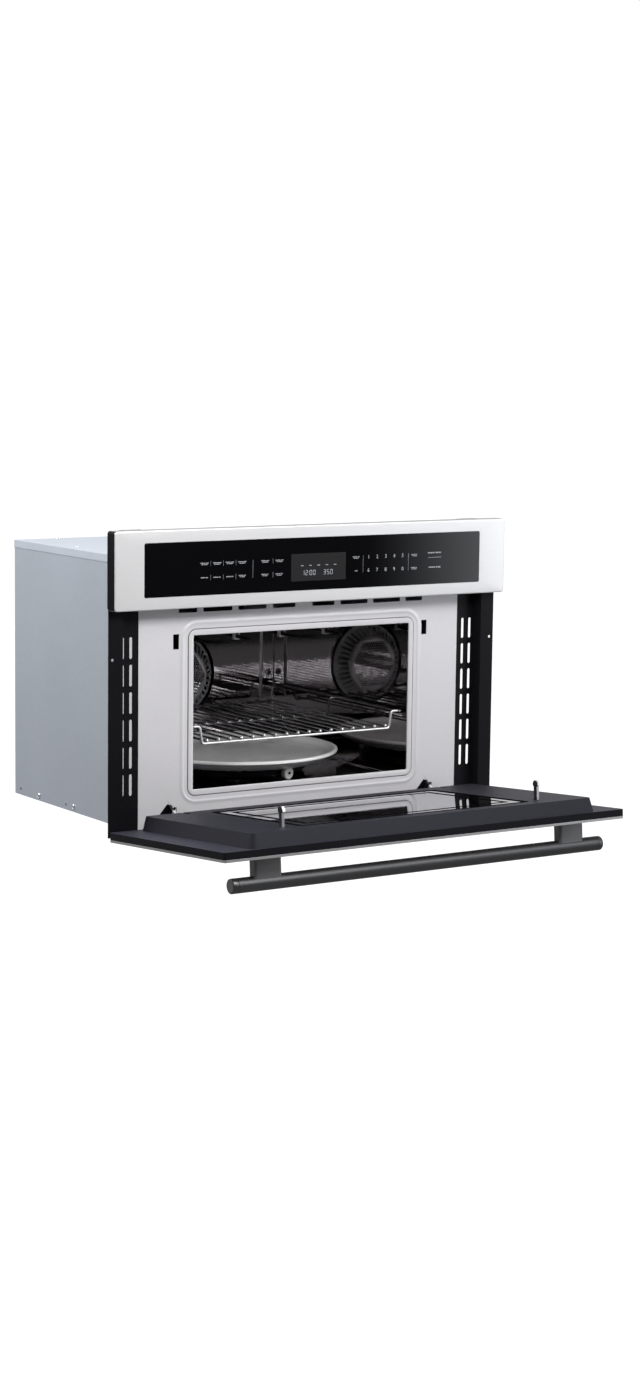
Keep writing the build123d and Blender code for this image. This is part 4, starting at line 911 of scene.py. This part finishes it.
class MICROWAVE_OT_panel_print(bpy.types.Operator):
    """Print plain marks, digits and display figures on the touch glass"""

    bl_idname = "microwave.panel_print"
    bl_label = "Panel Print"

    def execute(self, context):
        self.settings = context.scene.microwave_sizes
        self.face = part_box("control_glass")[0].y
        self.points, self.sizes = [], []
        upper, middle, lower = 435.1, 424.0, 413.1
        for number in range(4):
            spot = -216.6 + 23.5 * number
            self.label(spot, upper, 15.0, 2)
            self.label(spot, lower, 13.0, 2 if number == 3 else 1)
        for spot in (-103.0, -75.7):
            self.label(spot, upper, 15.0, 2)
            self.label(spot, lower, 14.0, 2)
        self.label(73.4, upper, 13.0, 2)
        self.label(73.4, lower, 5.0, 1)
        for level in (upper, lower):
            self.label(190.4, level, 12.0, 2)
            for spot in (-205.0, -181.5, -158.0, -88.0):
                self.bar(spot, level, 0.26, 8.6)
        for spot in (-126.0, 87.5, 178.4):
            self.bar(spot, middle, 0.32, 28.5)
        last = 232.3
        self.label(last, 437.9, 27.6, 1, 1.6)
        self.bar(last, 430.0, 27.6, 0.5)
        self.label(last, 413.5, 24.0, 1, 1.6)
        self.figures()
        marks = run_tree(mark_tree(), point_mesh(self.points, size=self.sizes))
        finished("panel_marks", marks, "cabinet", "white_plastic", "print_ink")
        self.digits((upper, lower))
        self.display()
        return {"FINISHED"}

    def bar(self, across, up, width, height):
        """One flat mark, in millimetres."""
        lift = self.settings.print_lift
        self.points.append((across * MM, self.face - lift / 2, up * MM))
        self.sizes.append((width * MM, lift, height * MM))

    def label(self, across, up, width, lines, bold=1.0):
        """A key's caption, as rows of plain strokes in place of letters."""
        height = self.settings.mark_height / MM * bold
        strokes = (1.5, 1.1, 1.7, 0.6, 1.4, 1.6, 1.2)
        for line in range(lines):
            level = up + (lines - 1 - 2 * line) * 0.85 * height
            room = width * (1.0 if line == 0 else 0.72)
            spot, number = -room / 2, line * 3
            while spot < room / 2 - 0.8 * bold:
                stroke = strokes[number % len(strokes)] * bold
                self.bar(across + spot + stroke / 2, level, stroke, height)
                spot += stroke + (1.4 if number % 5 == 4 else 0.5) * bold
                number += 1

    def figures(self):
        """Seven-stroke figures of a clock and a temperature, with small marks above."""
        strokes = {"0": "abcdef", "1": "bc", "2": "abged", "3": "abgcd", "5": "afgcd"}
        tall = self.settings.figure_height / MM
        wide, thick, drawn = 0.52 * tall, 0.13 * tall, 0.86
        places = {stroke: (0, up * tall, wide, thick) for stroke, up in (("a", 0.5), ("g", 0), ("d", -0.5))}
        for stroke, aside, up in (("f", -0.5, 0.25), ("b", 0.5, 0.25), ("e", -0.5, -0.25), ("c", 0.5, -0.25)):
            places[stroke] = (aside * wide, up * tall, thick, tall / 2)
        spot, level = -30.0, 413.8
        for figure in "12:00  350":
            if figure == ":":
                for up in (-0.2, 0.2):
                    self.bar(spot - 0.45 * wide, level + up * tall, thick, thick)
                spot += 0.35 * wide
                continue
            for stroke in strokes.get(figure, ""):
                aside, up, width, height = places[stroke]
                self.bar(spot + aside, level + up, width * drawn, height * drawn)
            spot += 1.75 * wide
        for number in range(5):
            self.bar(-32.0 + 16.0 * number, 425.5, 5.0, 1.0)

    def digits(self, rows):
        """The number keys."""
        lift, first, pitch, capital = self.settings.print_lift, 98.5, 17.1, 0.7
        for row, figures in zip(rows, ("12345", "67890")):
            for number, figure in enumerate(figures):
                text = bpy.data.curves.new("digit", "FONT")
                text.body = figure
                text.size = self.settings.digit_height / capital
                text.align_x, text.align_y = "CENTER", "CENTER"
                text.extrude = lift / 2
                text.resolution_u = 3
                mesh = plain_mesh(held("digit", text))
                place = ((first + pitch * number) * MM, self.face - lift / 2, row * MM)
                mesh.transform(facing(place, "X"))
                finished("key_digit_" + figure, mesh, "cabinet", "white_plastic", "print_ink")

    def display(self):
        """The display's own dark field on the glass."""
        reach, bottom, top = 53.0 * MM, 400.4 * MM, 445.0 * MM
        shape = bmesh.new()
        front, back = self.face - 0.03 * MM, self.face + 0.2 * MM
        block(shape, Vector((-reach, front, bottom)), Vector((reach, back, top)))
        formed("display_field", shape, "black_glass", "display_field")


class MICROWAVE_OT_cavity(bpy.types.Operator):
    """Round the cavity's corners and set its studs"""

    bl_idname = "microwave.cavity"
    bl_label = "Cavity"

    def execute(self, context):
        radius = context.scene.microwave_sizes.cove
        left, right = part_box("cavity_left_wall")[1].x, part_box("cavity_right_wall")[0].x
        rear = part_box("cavity_rear_wall")[0].y
        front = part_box("cavity_left_wall")[0].y + 1.0 * MM
        floor, ceiling = 50.0 * MM, 318.0 * MM
        coves = bmesh.new()
        for side, aside in ((left, 1), (right, -1)):
            for level, up in ((floor, 1), (ceiling, -1)):
                self.cove(coves, radius, (front, rear), lambda a, b, end: (
                    side + aside * a, end, level + up * b))
            self.cove(coves, radius, (floor, ceiling), lambda a, b, end: (side + aside * a, rear - b, end))
        for level, up in ((floor, 1), (ceiling, -1)):
            self.cove(coves, radius, (left, right), lambda a, b, end: (end, rear - b, level + up * a))
        formed("cavity_coves", coves, "cavity_steel")
        self.studs(rear, (left + 11 * MM, right - 11 * MM))
        strip, spot = bmesh.new(), 184.7 * MM
        swept(strip, [(spot, rear + 1.2 * MM, level) for level in (139.0 * MM, ceiling - 2 * MM)], 3.6 * MM)
        formed("cavity_strip", strip, "cavity_steel", "cover_steel", angle=60.0)
        softened("grill_clips", 0.6 * MM)
        for node, material in (("cavity_floor", "cavity_enamel"), ("roller_ring", "black_plastic")):
            NODES[node].material_slots[0].material = bpy.data.materials[material]
        return {"FINISHED"}

    def cove(self, shape, radius, ends, place):
        """A concave corner strip between two walls, from end to end."""
        steps, sunk = 6, -0.2 * MM
        outline = [(sunk, sunk)]
        for step in range(steps + 1):
            angle = math.radians(270.0 - 90.0 * step / steps)
            outline.append((radius + radius * math.cos(angle), radius + radius * math.sin(angle)))
        capped(shape, [loop_of(shape, [place(a, b, end) for a, b in outline]) for end in ends])

    def studs(self, rear, spots):
        """Studs on the rear wall, each with its hole painted as a dark disc of shade."""
        level = 184.0 * MM
        stud = scaled(((0.0, 3.0), (3.0, 2.8), (5.0, 2.0), (6.0, 0.8), (6.2, -0.2), (0.0, -0.2)))
        hole = scaled(((0.0, 2.4), (2.6, 2.4), (2.6, 3.1), (0.0, 3.1)))
        studs, holes = bmesh.new(), bmesh.new()
        for spot in spots:
            place = facing((spot, rear, level), "X")
            turned(studs, stud, 24, place)
            turned(holes, hole, 20, place)
        formed("cavity_studs", studs, "cavity_steel", "cover_steel")
        # painted shade: dark discs stand for the inside of the stud holes
        formed("cavity_stud_holes", holes, "black_plastic")


class MICROWAVE_OT_convection_cover(bpy.types.Operator):
    """Form the slotted and perforated fan cover"""

    bl_idname = "microwave.convection_cover"
    bl_label = "Convection Cover"

    thick = 0.7 * MM

    def execute(self, context):
        sizes = context.scene.microwave_sizes
        low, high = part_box("convection_cover")
        middle = (low + high) / 2
        place = facing((middle.x, low.y, middle.z), "X")
        shape = bmesh.new()
        self.cone(shape, sizes, (high.x - low.x) / 2, low.y - high.y)
        mesh = shape_to_mesh(shape, "cover_cone", 60.0)
        mesh.transform(place)
        holder = held("cover_cone", mesh)
        sheet = holder.modifiers.new("Sheet", "SOLIDIFY")
        sheet.thickness = self.thick
        sheet.offset = 1.0
        finished("fan_cover_cone", plain_mesh(holder), "cabinet", "cavity_steel", "cover_steel",
                 ("convection_cover",))
        cell = held("cell", self.cell(sizes))
        field = run_tree(
            lattice_tree(), point_mesh([]), Cell=cell, Rings=sizes.hole_rings, Pitch=sizes.hole_pitch)
        bpy.data.objects.remove(cell)
        shape = bmesh.new()
        shape.from_mesh(field)
        bmesh.ops.remove_doubles(shape, verts=shape.verts, dist=0.01 * MM)
        field = shape_to_mesh(shape, "fan_cover_field", 40.0)
        field.transform(place)
        finished("fan_cover_field", field, "cabinet", "cavity_steel")
        return {"FINISHED"}

    def cone(self, shape, sizes, flange, depth):
        """The flange, the cone with its slots, and the flat round the holes."""
        slots, parts = 40, 4
        steps = slots * parts
        profile = (
            (flange, depth), (0.92 * flange, depth), (0.90 * flange, depth + 0.6 * MM),
            (0.85 * flange, 0.84 * depth), (0.66 * flange, 0.17 * depth), (0.61 * flange, -0.4 * MM),
            (0.59 * flange, 0.0))
        rings = [loop_of(shape, [(*point, height) for point in circle(radius, steps)])
                 for radius, height in profile]
        reach = (sizes.hole_rings * math.sqrt(0.75) + 0.25) * sizes.hole_pitch
        twist = math.pi / 6
        turns = [2 * math.pi * (step - steps // 12) / steps + twist for step in range(steps)]
        field = [(*point, -0.1 * MM) for point in self.six_sided(reach, turns, twist)]
        loft(shape, rings[:4])
        loft(shape, rings[3:5], parts, parts // 2)
        loft(shape, [*rings[4:], loop_of(shape, field)])

    def six_sided(self, reach, turns, twist=0.0):
        """Points of a six-sided outline, at some turns."""
        points = []
        for turn in turns:
            radius = reach / math.cos((turn - twist + math.pi / 6) % (math.pi / 3) - math.pi / 6)
            points.append((radius * math.cos(turn), radius * math.sin(turn)))
        return points

    def cell(self, sizes):
        """One six-sided cell of sheet with a round hole."""
        steps = 12
        outer = self.six_sided(sizes.hole_pitch / 2, [2 * math.pi * step / steps for step in range(steps)])
        hole = circle(sizes.hole_radius, steps)
        shape = bmesh.new()
        loft(shape, [loop_of(shape, [(*point, height) for point in points])
                     for points, height in ((outer, 0.0), (hole, 0.0), (hole, -self.thick))])
        return bare_mesh(shape, "cell")


class MICROWAVE_OT_rack(bpy.types.Operator):
    """Bend the wire rack's rods and lay its wires"""

    bl_idname = "microwave.rack"
    bl_label = "Wire Rack"

    def execute(self, context):
        low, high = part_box("wire_rack")
        hang, cross, wire = 3.0 * MM, 2.2 * MM, 1.8 * MM
        side, bend, foot = high.x - hang, 189 * MM, 184 * MM
        top, drop = 164.4 * MM, 135.6 * MM
        rods = (-206.5 * MM, -17.6 * MM, 171.4 * MM)
        rod, bars = bmesh.new(), bmesh.new()
        for way in (-1, 1):
            swept(bars, [(way * side, low.y + hang, top), (way * side, high.y - hang, top)], hang)
        for along in rods:
            run = [(-side, top), (-bend, top), (-foot, drop), (foot, drop), (bend, top), (side, top)]
            path = bent([(across, along, up) for across, up in run], 5.0 * MM)
            swept(rod if along == rods[0] else bars, path, cross)
        formed("rack_rod", rod, "chrome_wire", body="rack", stands_for=("wire_rack",), angle=60.0)
        # painted shade: the front rod keeps the chrome, the other rods take the darker copy
        formed("rack_bars", bars, "chrome_wire", "wire_steel", "rack", angle=60.0)
        row = partial(run_tree, wire_tree(), Count=17, Pitch=22 * MM)
        wires = row(point_mesh([]), Length=rods[-1] - rods[0] + 1.6 * MM, Radius=wire, Ends=1.5 * wire,
                    Middle=Vector((0.0, (rods[0] + rods[-1]) / 2, 139.5 * MM)))
        # painted shade: the wires take the darker copy of the chrome
        finished("rack_wires", wires, "rack", "chrome_wire", "wire_steel")
        tips = row(point_mesh([]), Length=0.6 * MM, Radius=2.0 * MM, Ends=2.8 * MM,
                   Middle=Vector((0.0, rods[0] - 1.4 * MM, 140.9 * MM)))
        finished("rack_tips", tips, "rack", "chrome_wire")
        return {"FINISHED"}


class MICROWAVE_OT_turntable(bpy.types.Operator):
    """Turn the tray with its smooth rim"""

    bl_idname = "microwave.turntable"
    bl_label = "Turntable"

    def execute(self, context):
        low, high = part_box("turntable_tray")
        middle = (low + high) / 2
        edge, top = (high.x - low.x) / 2, high.z + 2.2 * MM
        under = 71.2 * MM
        profile = [
            *scaled(((0.0, 0.0), (146.0, 0.0), (150.0, 0.8), (154.0, 2.6)), up=under),
            *scaled(((-2.4, -5.8), (-0.4, -4.6), (0.0, -3.0), (-0.5, -0.8), (-1.8, 0.0), (-6.2, 0.0),
                     (-7.6, -0.6), (-9.6, -3.0)), edge, top),
            *scaled(((153.0, 7.2), (149.0, 5.6), (145.0, 5.0), (0.0, 5.0)), up=under)]
        tray = bmesh.new()
        turned(tray, profile, 128, Matrix.Translation((middle.x, middle.y, 0.0)))
        lug = [*scaled(((0.0, 1.0), (3.0, 1.0)), up=under),
               *scaled(((3.0, 0.6), (2.4, 0.0), (0.0, 0.0)), up=low.z)]
        lugs, far = 3, 11.9 * MM
        for number in range(lugs):
            angle = math.radians(90 + 360 / lugs * number)
            turned(tray, lug, 16, Matrix.Translation((
                middle.x + far * math.cos(angle), middle.y + far * math.sin(angle), 0.0)))
        formed("tray", tray, "tray_ceramic", body="turntable", stands_for=("turntable_tray",), angle=40.0)
        return {"FINISHED"}


class MICROWAVE_OT_door(bpy.types.Operator):
    """Round the door's mouldings, paint shade on the skin's edges and light on the frame's top, and set the
    window's lines of painted shadow
    """

    bl_idname = "microwave.door"
    bl_label = "Door"

    def execute(self, context):
        sizes = context.scene.microwave_sizes
        upward, level = opened().to_3x3() @ Vector((0.0, 1.0, 0.0)), 0.9
        # painted shade: the skin's edges take the darker stainless; its two broad faces keep the stainless
        two_tone(softened("door_skin", 0.3 * MM, "edge_steel"), "stainless",
                 lambda normal: abs(normal.dot(upward)) > level)
        # painted light: the frame's upward faces take the lighter copy of the lining
        two_tone(softened("door_frame", 1.0 * MM, "edge_plastic"), "flange_plastic",
                 lambda normal: normal.dot(upward) > level)
        softened("door_choke_cover", sizes.moulded_edge, segments=3, reshape=self.widen)
        # painted shadow: two dark rings round the window stand for its shadow gaps
        for number, (first, last) in enumerate(((-0.6, -11.5), (-24.5, -34.0))):
            line = bmesh.new()
            loops = self.window(line, ((first, -0.2), (first, 0.08), (last, 0.08), (last, -0.2)))
            loft(line, [*loops, loops[0]])
            formed("window_line_%d" % (number + 1), line, "charcoal_plastic", "gap_black", "door", angle=60.0)
        pane = bmesh.new()
        capped(pane, self.window(pane, ((-0.6, -2.1), (-0.6, 0.0))))
        formed("window_pane", pane, "tinted_glass", body="door")
        return {"FINISHED"}

    def widen(self, shape):
        """Moves the raised panel's two ends a little outward."""
        ends, more = 300 * MM, 10 * MM
        for corner in shape.verts:
            if abs(corner.co.x) > ends:
                corner.co.x += math.copysign(more, corner.co.x)

    def window(self, shape, profile):
        """Loops round the window of the open door; the profile is growth and lift in millimetres."""
        width, height, corner, face, middle = 440.0, 272.0, 10.0, -224.1, 184.5
        runs = [(MM * (width + 2 * grow), MM * (height + 2 * grow), MM * max(2.0, corner + grow),
                 MM * (face + lift)) for grow, lift in profile]
        return frames(shape, runs, opened((0.0, 0.0, middle * MM)), 6)


class MICROWAVE_OT_handle(bpy.types.Operator):
    """Turn the handle's tube with its end caps and round the posts"""

    bl_idname = "microwave.handle"
    bl_label = "Handle"

    def execute(self, context):
        low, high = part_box("handle_bar")
        middle = (low + high) / 2
        radius, half = (high.z - low.z) / 2, (high.x - low.x) / 2
        run = [(0.0, half), *scaled((
            (-1.6, 0.0), (-0.5, -0.5), (0.0, -1.6), (0.0, -9.0), (-0.5, -9.2), (-0.5, -10.2), (0.0, -10.4)),
            radius, half)]
        profile = [*run, *[(far, -along) for far, along in reversed(run)]]
        tube, ends = bmesh.new(), bmesh.new()
        turned(tube, profile, 64, facing(middle, "Y"))
        formed("handle_tube", tube, "handle_steel", body="door", stands_for=("handle_bar",), angle=40.0)
        disc = [(0.0, 0.0), *scaled(((-2.2, 0.0), (-2.4, 0.3)), radius), (0.0, 0.3 * MM)]
        for way in (-1, 1):
            turned(ends, disc, 48, facing(middle + Vector((way * half, 0.0, 0.0)), "Y", way))
        formed("handle_ends", ends, "handle_steel", "post_steel", "door")
        softened("handle_posts", 1.5 * MM, "post_steel", 3)
        return {"FINISHED"}


class MICROWAVE_OT_hinges_latches(bpy.types.Operator):
    """Round the hinge arms and latch hooks"""

    bl_idname = "microwave.hinges_latches"
    bl_label = "Hinges and Latches"

    def execute(self, context):
        softened("hinge_brackets", 0.4 * MM, "hinge_steel")
        wheel = scaled(((0.0, 0.0), (5.2, 0.0), (5.6, 0.4), (5.6, 2.0), (5.2, 2.4), (0.0, 2.4)))
        for node in ("left_latch_hook", "right_latch_hook"):
            # painted shade: the hooks' faces that look left take a darker plastic
            two_tone(softened(node, 0.6 * MM), "hook_plastic", lambda normal: normal.x < -0.7)
            low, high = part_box(node)
            place = ((low.x + high.x) / 2 - 2.4 * MM, (low.y + high.y) / 2, high.z - 5.6 * MM)
            head = bmesh.new()
            turned(head, wheel, 32, facing(place, "Y", -1))
            formed(node + "_head", head, "black_plastic", "hook_plastic", BODY_OF[node])
        self.straps()
        return {"FINISHED"}

    def straps(self):
        """Narrower slots round the hinge arms, painted black as shade, and beside each arm a silver strap with two
        holes painted dark as shade.
        """
        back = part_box("front_plate")[1].y
        bottom, top = 1.5 * MM, 43.0 * MM
        fillers, dark, straps = bmesh.new(), bmesh.new(), bmesh.new()
        for first, last in scaled(((-268.0, -256.0), (-250.0, -244.0), (244.0, 250.0), (256.0, 268.0))):
            block(fillers, Vector((first, back - 1.0 * MM, bottom)), Vector((last, back, top)))
        slot = ((-19.0, 26.0), (-2.6, 44.4), (5.2, 41.6), (6.8, 40.6), (6.8, 20.0), (-19.0, 20.0))
        strap = ((6.8, 20.0), (6.8, 41.6), (8.0, 43.0), (12.6, 43.0), (13.8, 41.6), (13.8, 20.0))
        edge = ((13.8, 20.0), (13.8, 38.0), (14.7, 38.0), (14.7, 20.0))
        holes = [[(11.0 + across, level + up) for across, up in circle(radius, 24)]
                 for level, radius in ((36.4, 2.5), (29.0, 1.6))]
        face = ((-234.2, 12.0), (-234.2, 34.7), (-244.6, 28.9), (-244.6, 12.0))
        slope = ((-233.8, 35.3), (-234.1, 35.8), (-244.7, 29.8), (-244.4, 29.3))
        for side in (-255.5 * MM, 250.5 * MM):
            for shape, outline, depths in (
                    (dark, slot, (0.5, 1.25)), (straps, strap, (0.5, 1.25)), (dark, edge, (0.5, 1.25)),
                    *[(dark, hole, (1.0, 1.29)) for hole in holes]):
                points = scaled(outline, side)
                capped(shape, [loop_of(shape, [(across, back - depth * MM, up) for across, up in points])
                               for depth in depths])
            for outline, ends in ((face, (0.5, -0.08)), (slope, (0.2, 4.8))):
                points = scaled(outline)
                capped(straps, [loop_of(straps, [(side + end * MM, along, up) for along, up in points])
                                for end in ends])
        formed("slot_fillers", fillers, "front_steel")
        # painted shade: black sheets in the hinge slots, along the straps' edges and in their holes
        formed("hinge_gaps", dark, "black_plastic", "gap_black")
        formed("hinge_straps", straps, "front_steel")


class MICROWAVE_OT_screws(bpy.types.Operator):
    """Set a cross-recessed screw at each of the cabinet's screw places"""

    bl_idname = "microwave.screws"
    bl_label = "Screws"

    def execute(self, context):
        sizes = context.scene.microwave_sizes
        places, aims = [], []
        base_low, base_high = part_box("base_pan")
        heart = (base_low + base_high) / 2
        for low, high in islands("cabinet_screws"):
            span = high - low
            axis = min(range(3), key=lambda number: span[number])
            aim = Vector((0.0, 0.0, 0.0))
            spot = (low + high) / 2
            aim[axis] = 1.0 if spot[axis] > heart[axis] else -1.0
            spot[axis] -= aim[axis] * span[axis] / 2
            places.append(spot)
            aims.append(aim)
        head = held("head", self.head(sizes))
        mesh = run_tree(fastener_tree(), point_mesh(places, aim=aims), Head=head, Seed=7)
        bpy.data.objects.remove(head)
        finished("screw_heads", mesh, "cabinet", "zinc_screw", stands_for=("cabinet_screws",))
        return {"FINISHED"}

    def head(self, sizes):
        """A pan head with a cross recess."""
        radius, height = sizes.head_radius, sizes.head_height
        shape = bmesh.new()
        profile = [(0.0, 0.0), (radius, 0.0), (radius, 0.35 * height), (0.93 * radius, 0.7 * height),
                   (0.75 * radius, 0.92 * height), (0.5 * radius, height), (0.0, height)]
        turned(shape, profile, 24, Matrix.Identity(4))
        mesh = shape_to_mesh(shape, "head", 40.0)
        cutter_shape = bmesh.new()
        arm, wide, deep = 0.55 * radius, 0.12 * radius, 0.45 * height
        block(cutter_shape, Vector((-arm, -wide, height - deep)), Vector((arm, wide, height + deep)))
        block(cutter_shape, Vector((-wide, -arm, height - deep)), Vector((wide, arm, height + deep)))
        cutter = held("cutter", shape_to_mesh(cutter_shape, "cutter"))
        holder = held("head_blank", mesh)
        cut = holder.modifiers.new("Recess", "BOOLEAN")
        cut.object = cutter
        cut.solver = "EXACT"
        cut.use_self = True
        made = plain_mesh(holder)
        bpy.data.objects.remove(cutter)
        return made


class MICROWAVE_OT_stage(bpy.types.Operator):
    """Set the floor, the light and the camera"""

    bl_idname = "microwave.stage"
    bl_label = "Stage"

    def execute(self, context):
        studio = context.scene.microwave_studio
        self.floor(studio)
        self.sky(context.scene, studio)
        self.light("key", (1.4, -3.0, 2.6), (0.0, -0.2, 0.25), 2.4, 2.4, studio.key)
        self.light("front_box", (3.0, -2.9, 0.9), (0.0, -0.3, 0.35), 2.0, 2.2, studio.box, 0.3,
                   (0.92, 0.95, 1.0))
        self.light("left", (-1.25, 0.35, 1.25), (-0.3, 0.0, 0.35), 0.8, 0.8, studio.left)
        self.light("fill", (-0.25, -1.25, 0.95), (0.0, -0.02, 0.10), 0.5, 0.3, studio.fill)
        self.camera(context.scene, studio)
        context.scene.view_settings.view_transform = "Standard"
        return {"FINISHED"}

    def floor(self, studio):
        """A plain pale floor under the lowest point."""
        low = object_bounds()[0]
        tree, inputs = dressed(
            "floor", Specular_IOR_Level=0.1, Roughness=0.9, Emission_Strength=studio.floor_glow)
        cloud = noise(tree, place_of(tree), 0.6)
        mixed(tree, inputs, cloud, toned(studio.floor, 0.99), toned(studio.floor, 1.01))
        seen = add(tree, "ShaderNodeLightPath").outputs["Is Camera Ray"]
        tree.links.new(seen, inputs["Emission Color"])
        reach, near, level = 30.0, -5.0, low.z - studio.floor_drop
        shape = bmesh.new()
        shape.faces.new(loop_of(shape, [
            (-reach, near, level), (reach, near, level), (reach, reach, level), (-reach, reach, level)]))
        floor = held("floor", bare_mesh(shape, "floor"))
        floor.data.materials.append(bpy.data.materials["floor"])
        floor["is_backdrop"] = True

    def sky(self, scene, studio):
        """White surroundings that give little light from the front."""
        world = bpy.data.worlds.new("studio")
        scene.world = world
        world.use_nodes = True
        tree = world.node_tree
        tree.nodes.clear()
        way = add(tree, "ShaderNodeTexCoord").outputs["Generated"]
        along = add(tree, "ShaderNodeSeparateXYZ", {0: way}).outputs["Y"]
        share = add(tree, "ShaderNodeMapRange", {
            "Value": along, "From Min": -0.45, "From Max": 0.15, "To Min": studio.front_sky, "To Max": 1.0},
            interpolation_type="SMOOTHSTEP").outputs[0]
        seen = add(tree, "ShaderNodeLightPath").outputs["Is Camera Ray"]
        strength = math_node(tree, "MAXIMUM", math_node(tree, "MULTIPLY", share, studio.sky), seen)
        shade = add(tree, "ShaderNodeBackground", {"Color": (1.0, 1.0, 1.0, 1.0), "Strength": strength})
        add(tree, "ShaderNodeOutputWorld", {"Surface": shade.outputs[0]})

    def light(self, name, place, target, width, height, power, fade=0.0, tint=(1.0, 1.0, 1.0)):
        """One soft area light, which may fade in from its edge."""
        lamp = bpy.data.lights.new(name, "AREA")
        lamp.shape = "RECTANGLE"
        lamp.size, lamp.size_y = width, height
        lamp.energy = power
        lamp.color = tint
        if fade:
            lamp.use_nodes = True
            tree = lamp.node_tree
            across = add(tree, "ShaderNodeSeparateXYZ", {
                0: add(tree, "ShaderNodeNewGeometry").outputs["Parametric"]}).outputs["X"]
            share = add(tree, "ShaderNodeMapRange", {
                "Value": across, "From Max": fade}, interpolation_type="SMOOTHSTEP").outputs[0]
            glow = next(node for node in tree.nodes if node.type == "EMISSION")
            tree.links.new(share, glow.inputs["Strength"])
        light = held(name, lamp)
        light.location = place
        light.rotation_euler = (Vector(target) - Vector(place)).to_track_quat("-Z", "Y").to_euler()
        light.visible_camera = False
        light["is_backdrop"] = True

    def camera(self, scene, studio):
        """The photograph's view."""
        yaw, pitch, roll = studio.yaw, studio.pitch, studio.roll
        forward = Vector((math.sin(yaw) * math.cos(pitch), math.cos(yaw) * math.cos(pitch), -math.sin(pitch)))
        right = Vector((math.cos(yaw), -math.sin(yaw), 0.0))
        up = right.cross(forward)
        rolled_right = math.cos(roll) * right + math.sin(roll) * up
        rolled_up = -math.sin(roll) * right + math.cos(roll) * up
        turn = Matrix((rolled_right, rolled_up, -forward)).transposed().to_4x4()
        lens = bpy.data.cameras.new("view")
        lens.lens = studio.lens
        lens.sensor_width = 36.0
        lens.clip_end = 100.0
        camera = held("view", lens)
        camera.matrix_world = Matrix.Translation(studio.camera_place) @ turn
        scene.camera = camera


PIECES = (
    MICROWAVE_OT_finishes, MICROWAVE_OT_sheet_metal, MICROWAVE_OT_front_plate, MICROWAVE_OT_control_panel,
    MICROWAVE_OT_panel_print, MICROWAVE_OT_cavity, MICROWAVE_OT_convection_cover, MICROWAVE_OT_rack,
    MICROWAVE_OT_turntable, MICROWAVE_OT_door, MICROWAVE_OT_handle, MICROWAVE_OT_hinges_latches,
    MICROWAVE_OT_screws, MICROWAVE_OT_stage)


class MICROWAVE_PT_panel(bpy.types.Panel):
    """Lists the steps in the sidebar"""

    bl_idname = "MICROWAVE_PT_panel"
    bl_label = "Microwave"
    bl_space_type = "VIEW_3D"
    bl_region_type = "UI"
    bl_category = "Microwave"

    def draw(self, context):
        for piece in PIECES:
            self.layout.operator(piece.bl_idname)


CLASSES = (MicrowaveColours, MicrowaveSizes, MicrowaveStudio, *PIECES, MICROWAVE_PT_panel)


def register():
    for cls in CLASSES:
        bpy.utils.register_class(cls)
    bpy.types.Scene.microwave_colours = PointerProperty(type=MicrowaveColours)
    bpy.types.Scene.microwave_sizes = PointerProperty(type=MicrowaveSizes)
    bpy.types.Scene.microwave_studio = PointerProperty(type=MicrowaveStudio)


def unregister():
    del bpy.types.Scene.microwave_studio
    del bpy.types.Scene.microwave_sizes
    del bpy.types.Scene.microwave_colours
    for cls in reversed(CLASSES):
        bpy.utils.unregister_class(cls)


def main():
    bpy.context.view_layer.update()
    register()
    for piece in PIECES:
        getattr(bpy.ops.microwave, piece.bl_idname.split(".")[1])()


if __name__ == "__main__":
    main()
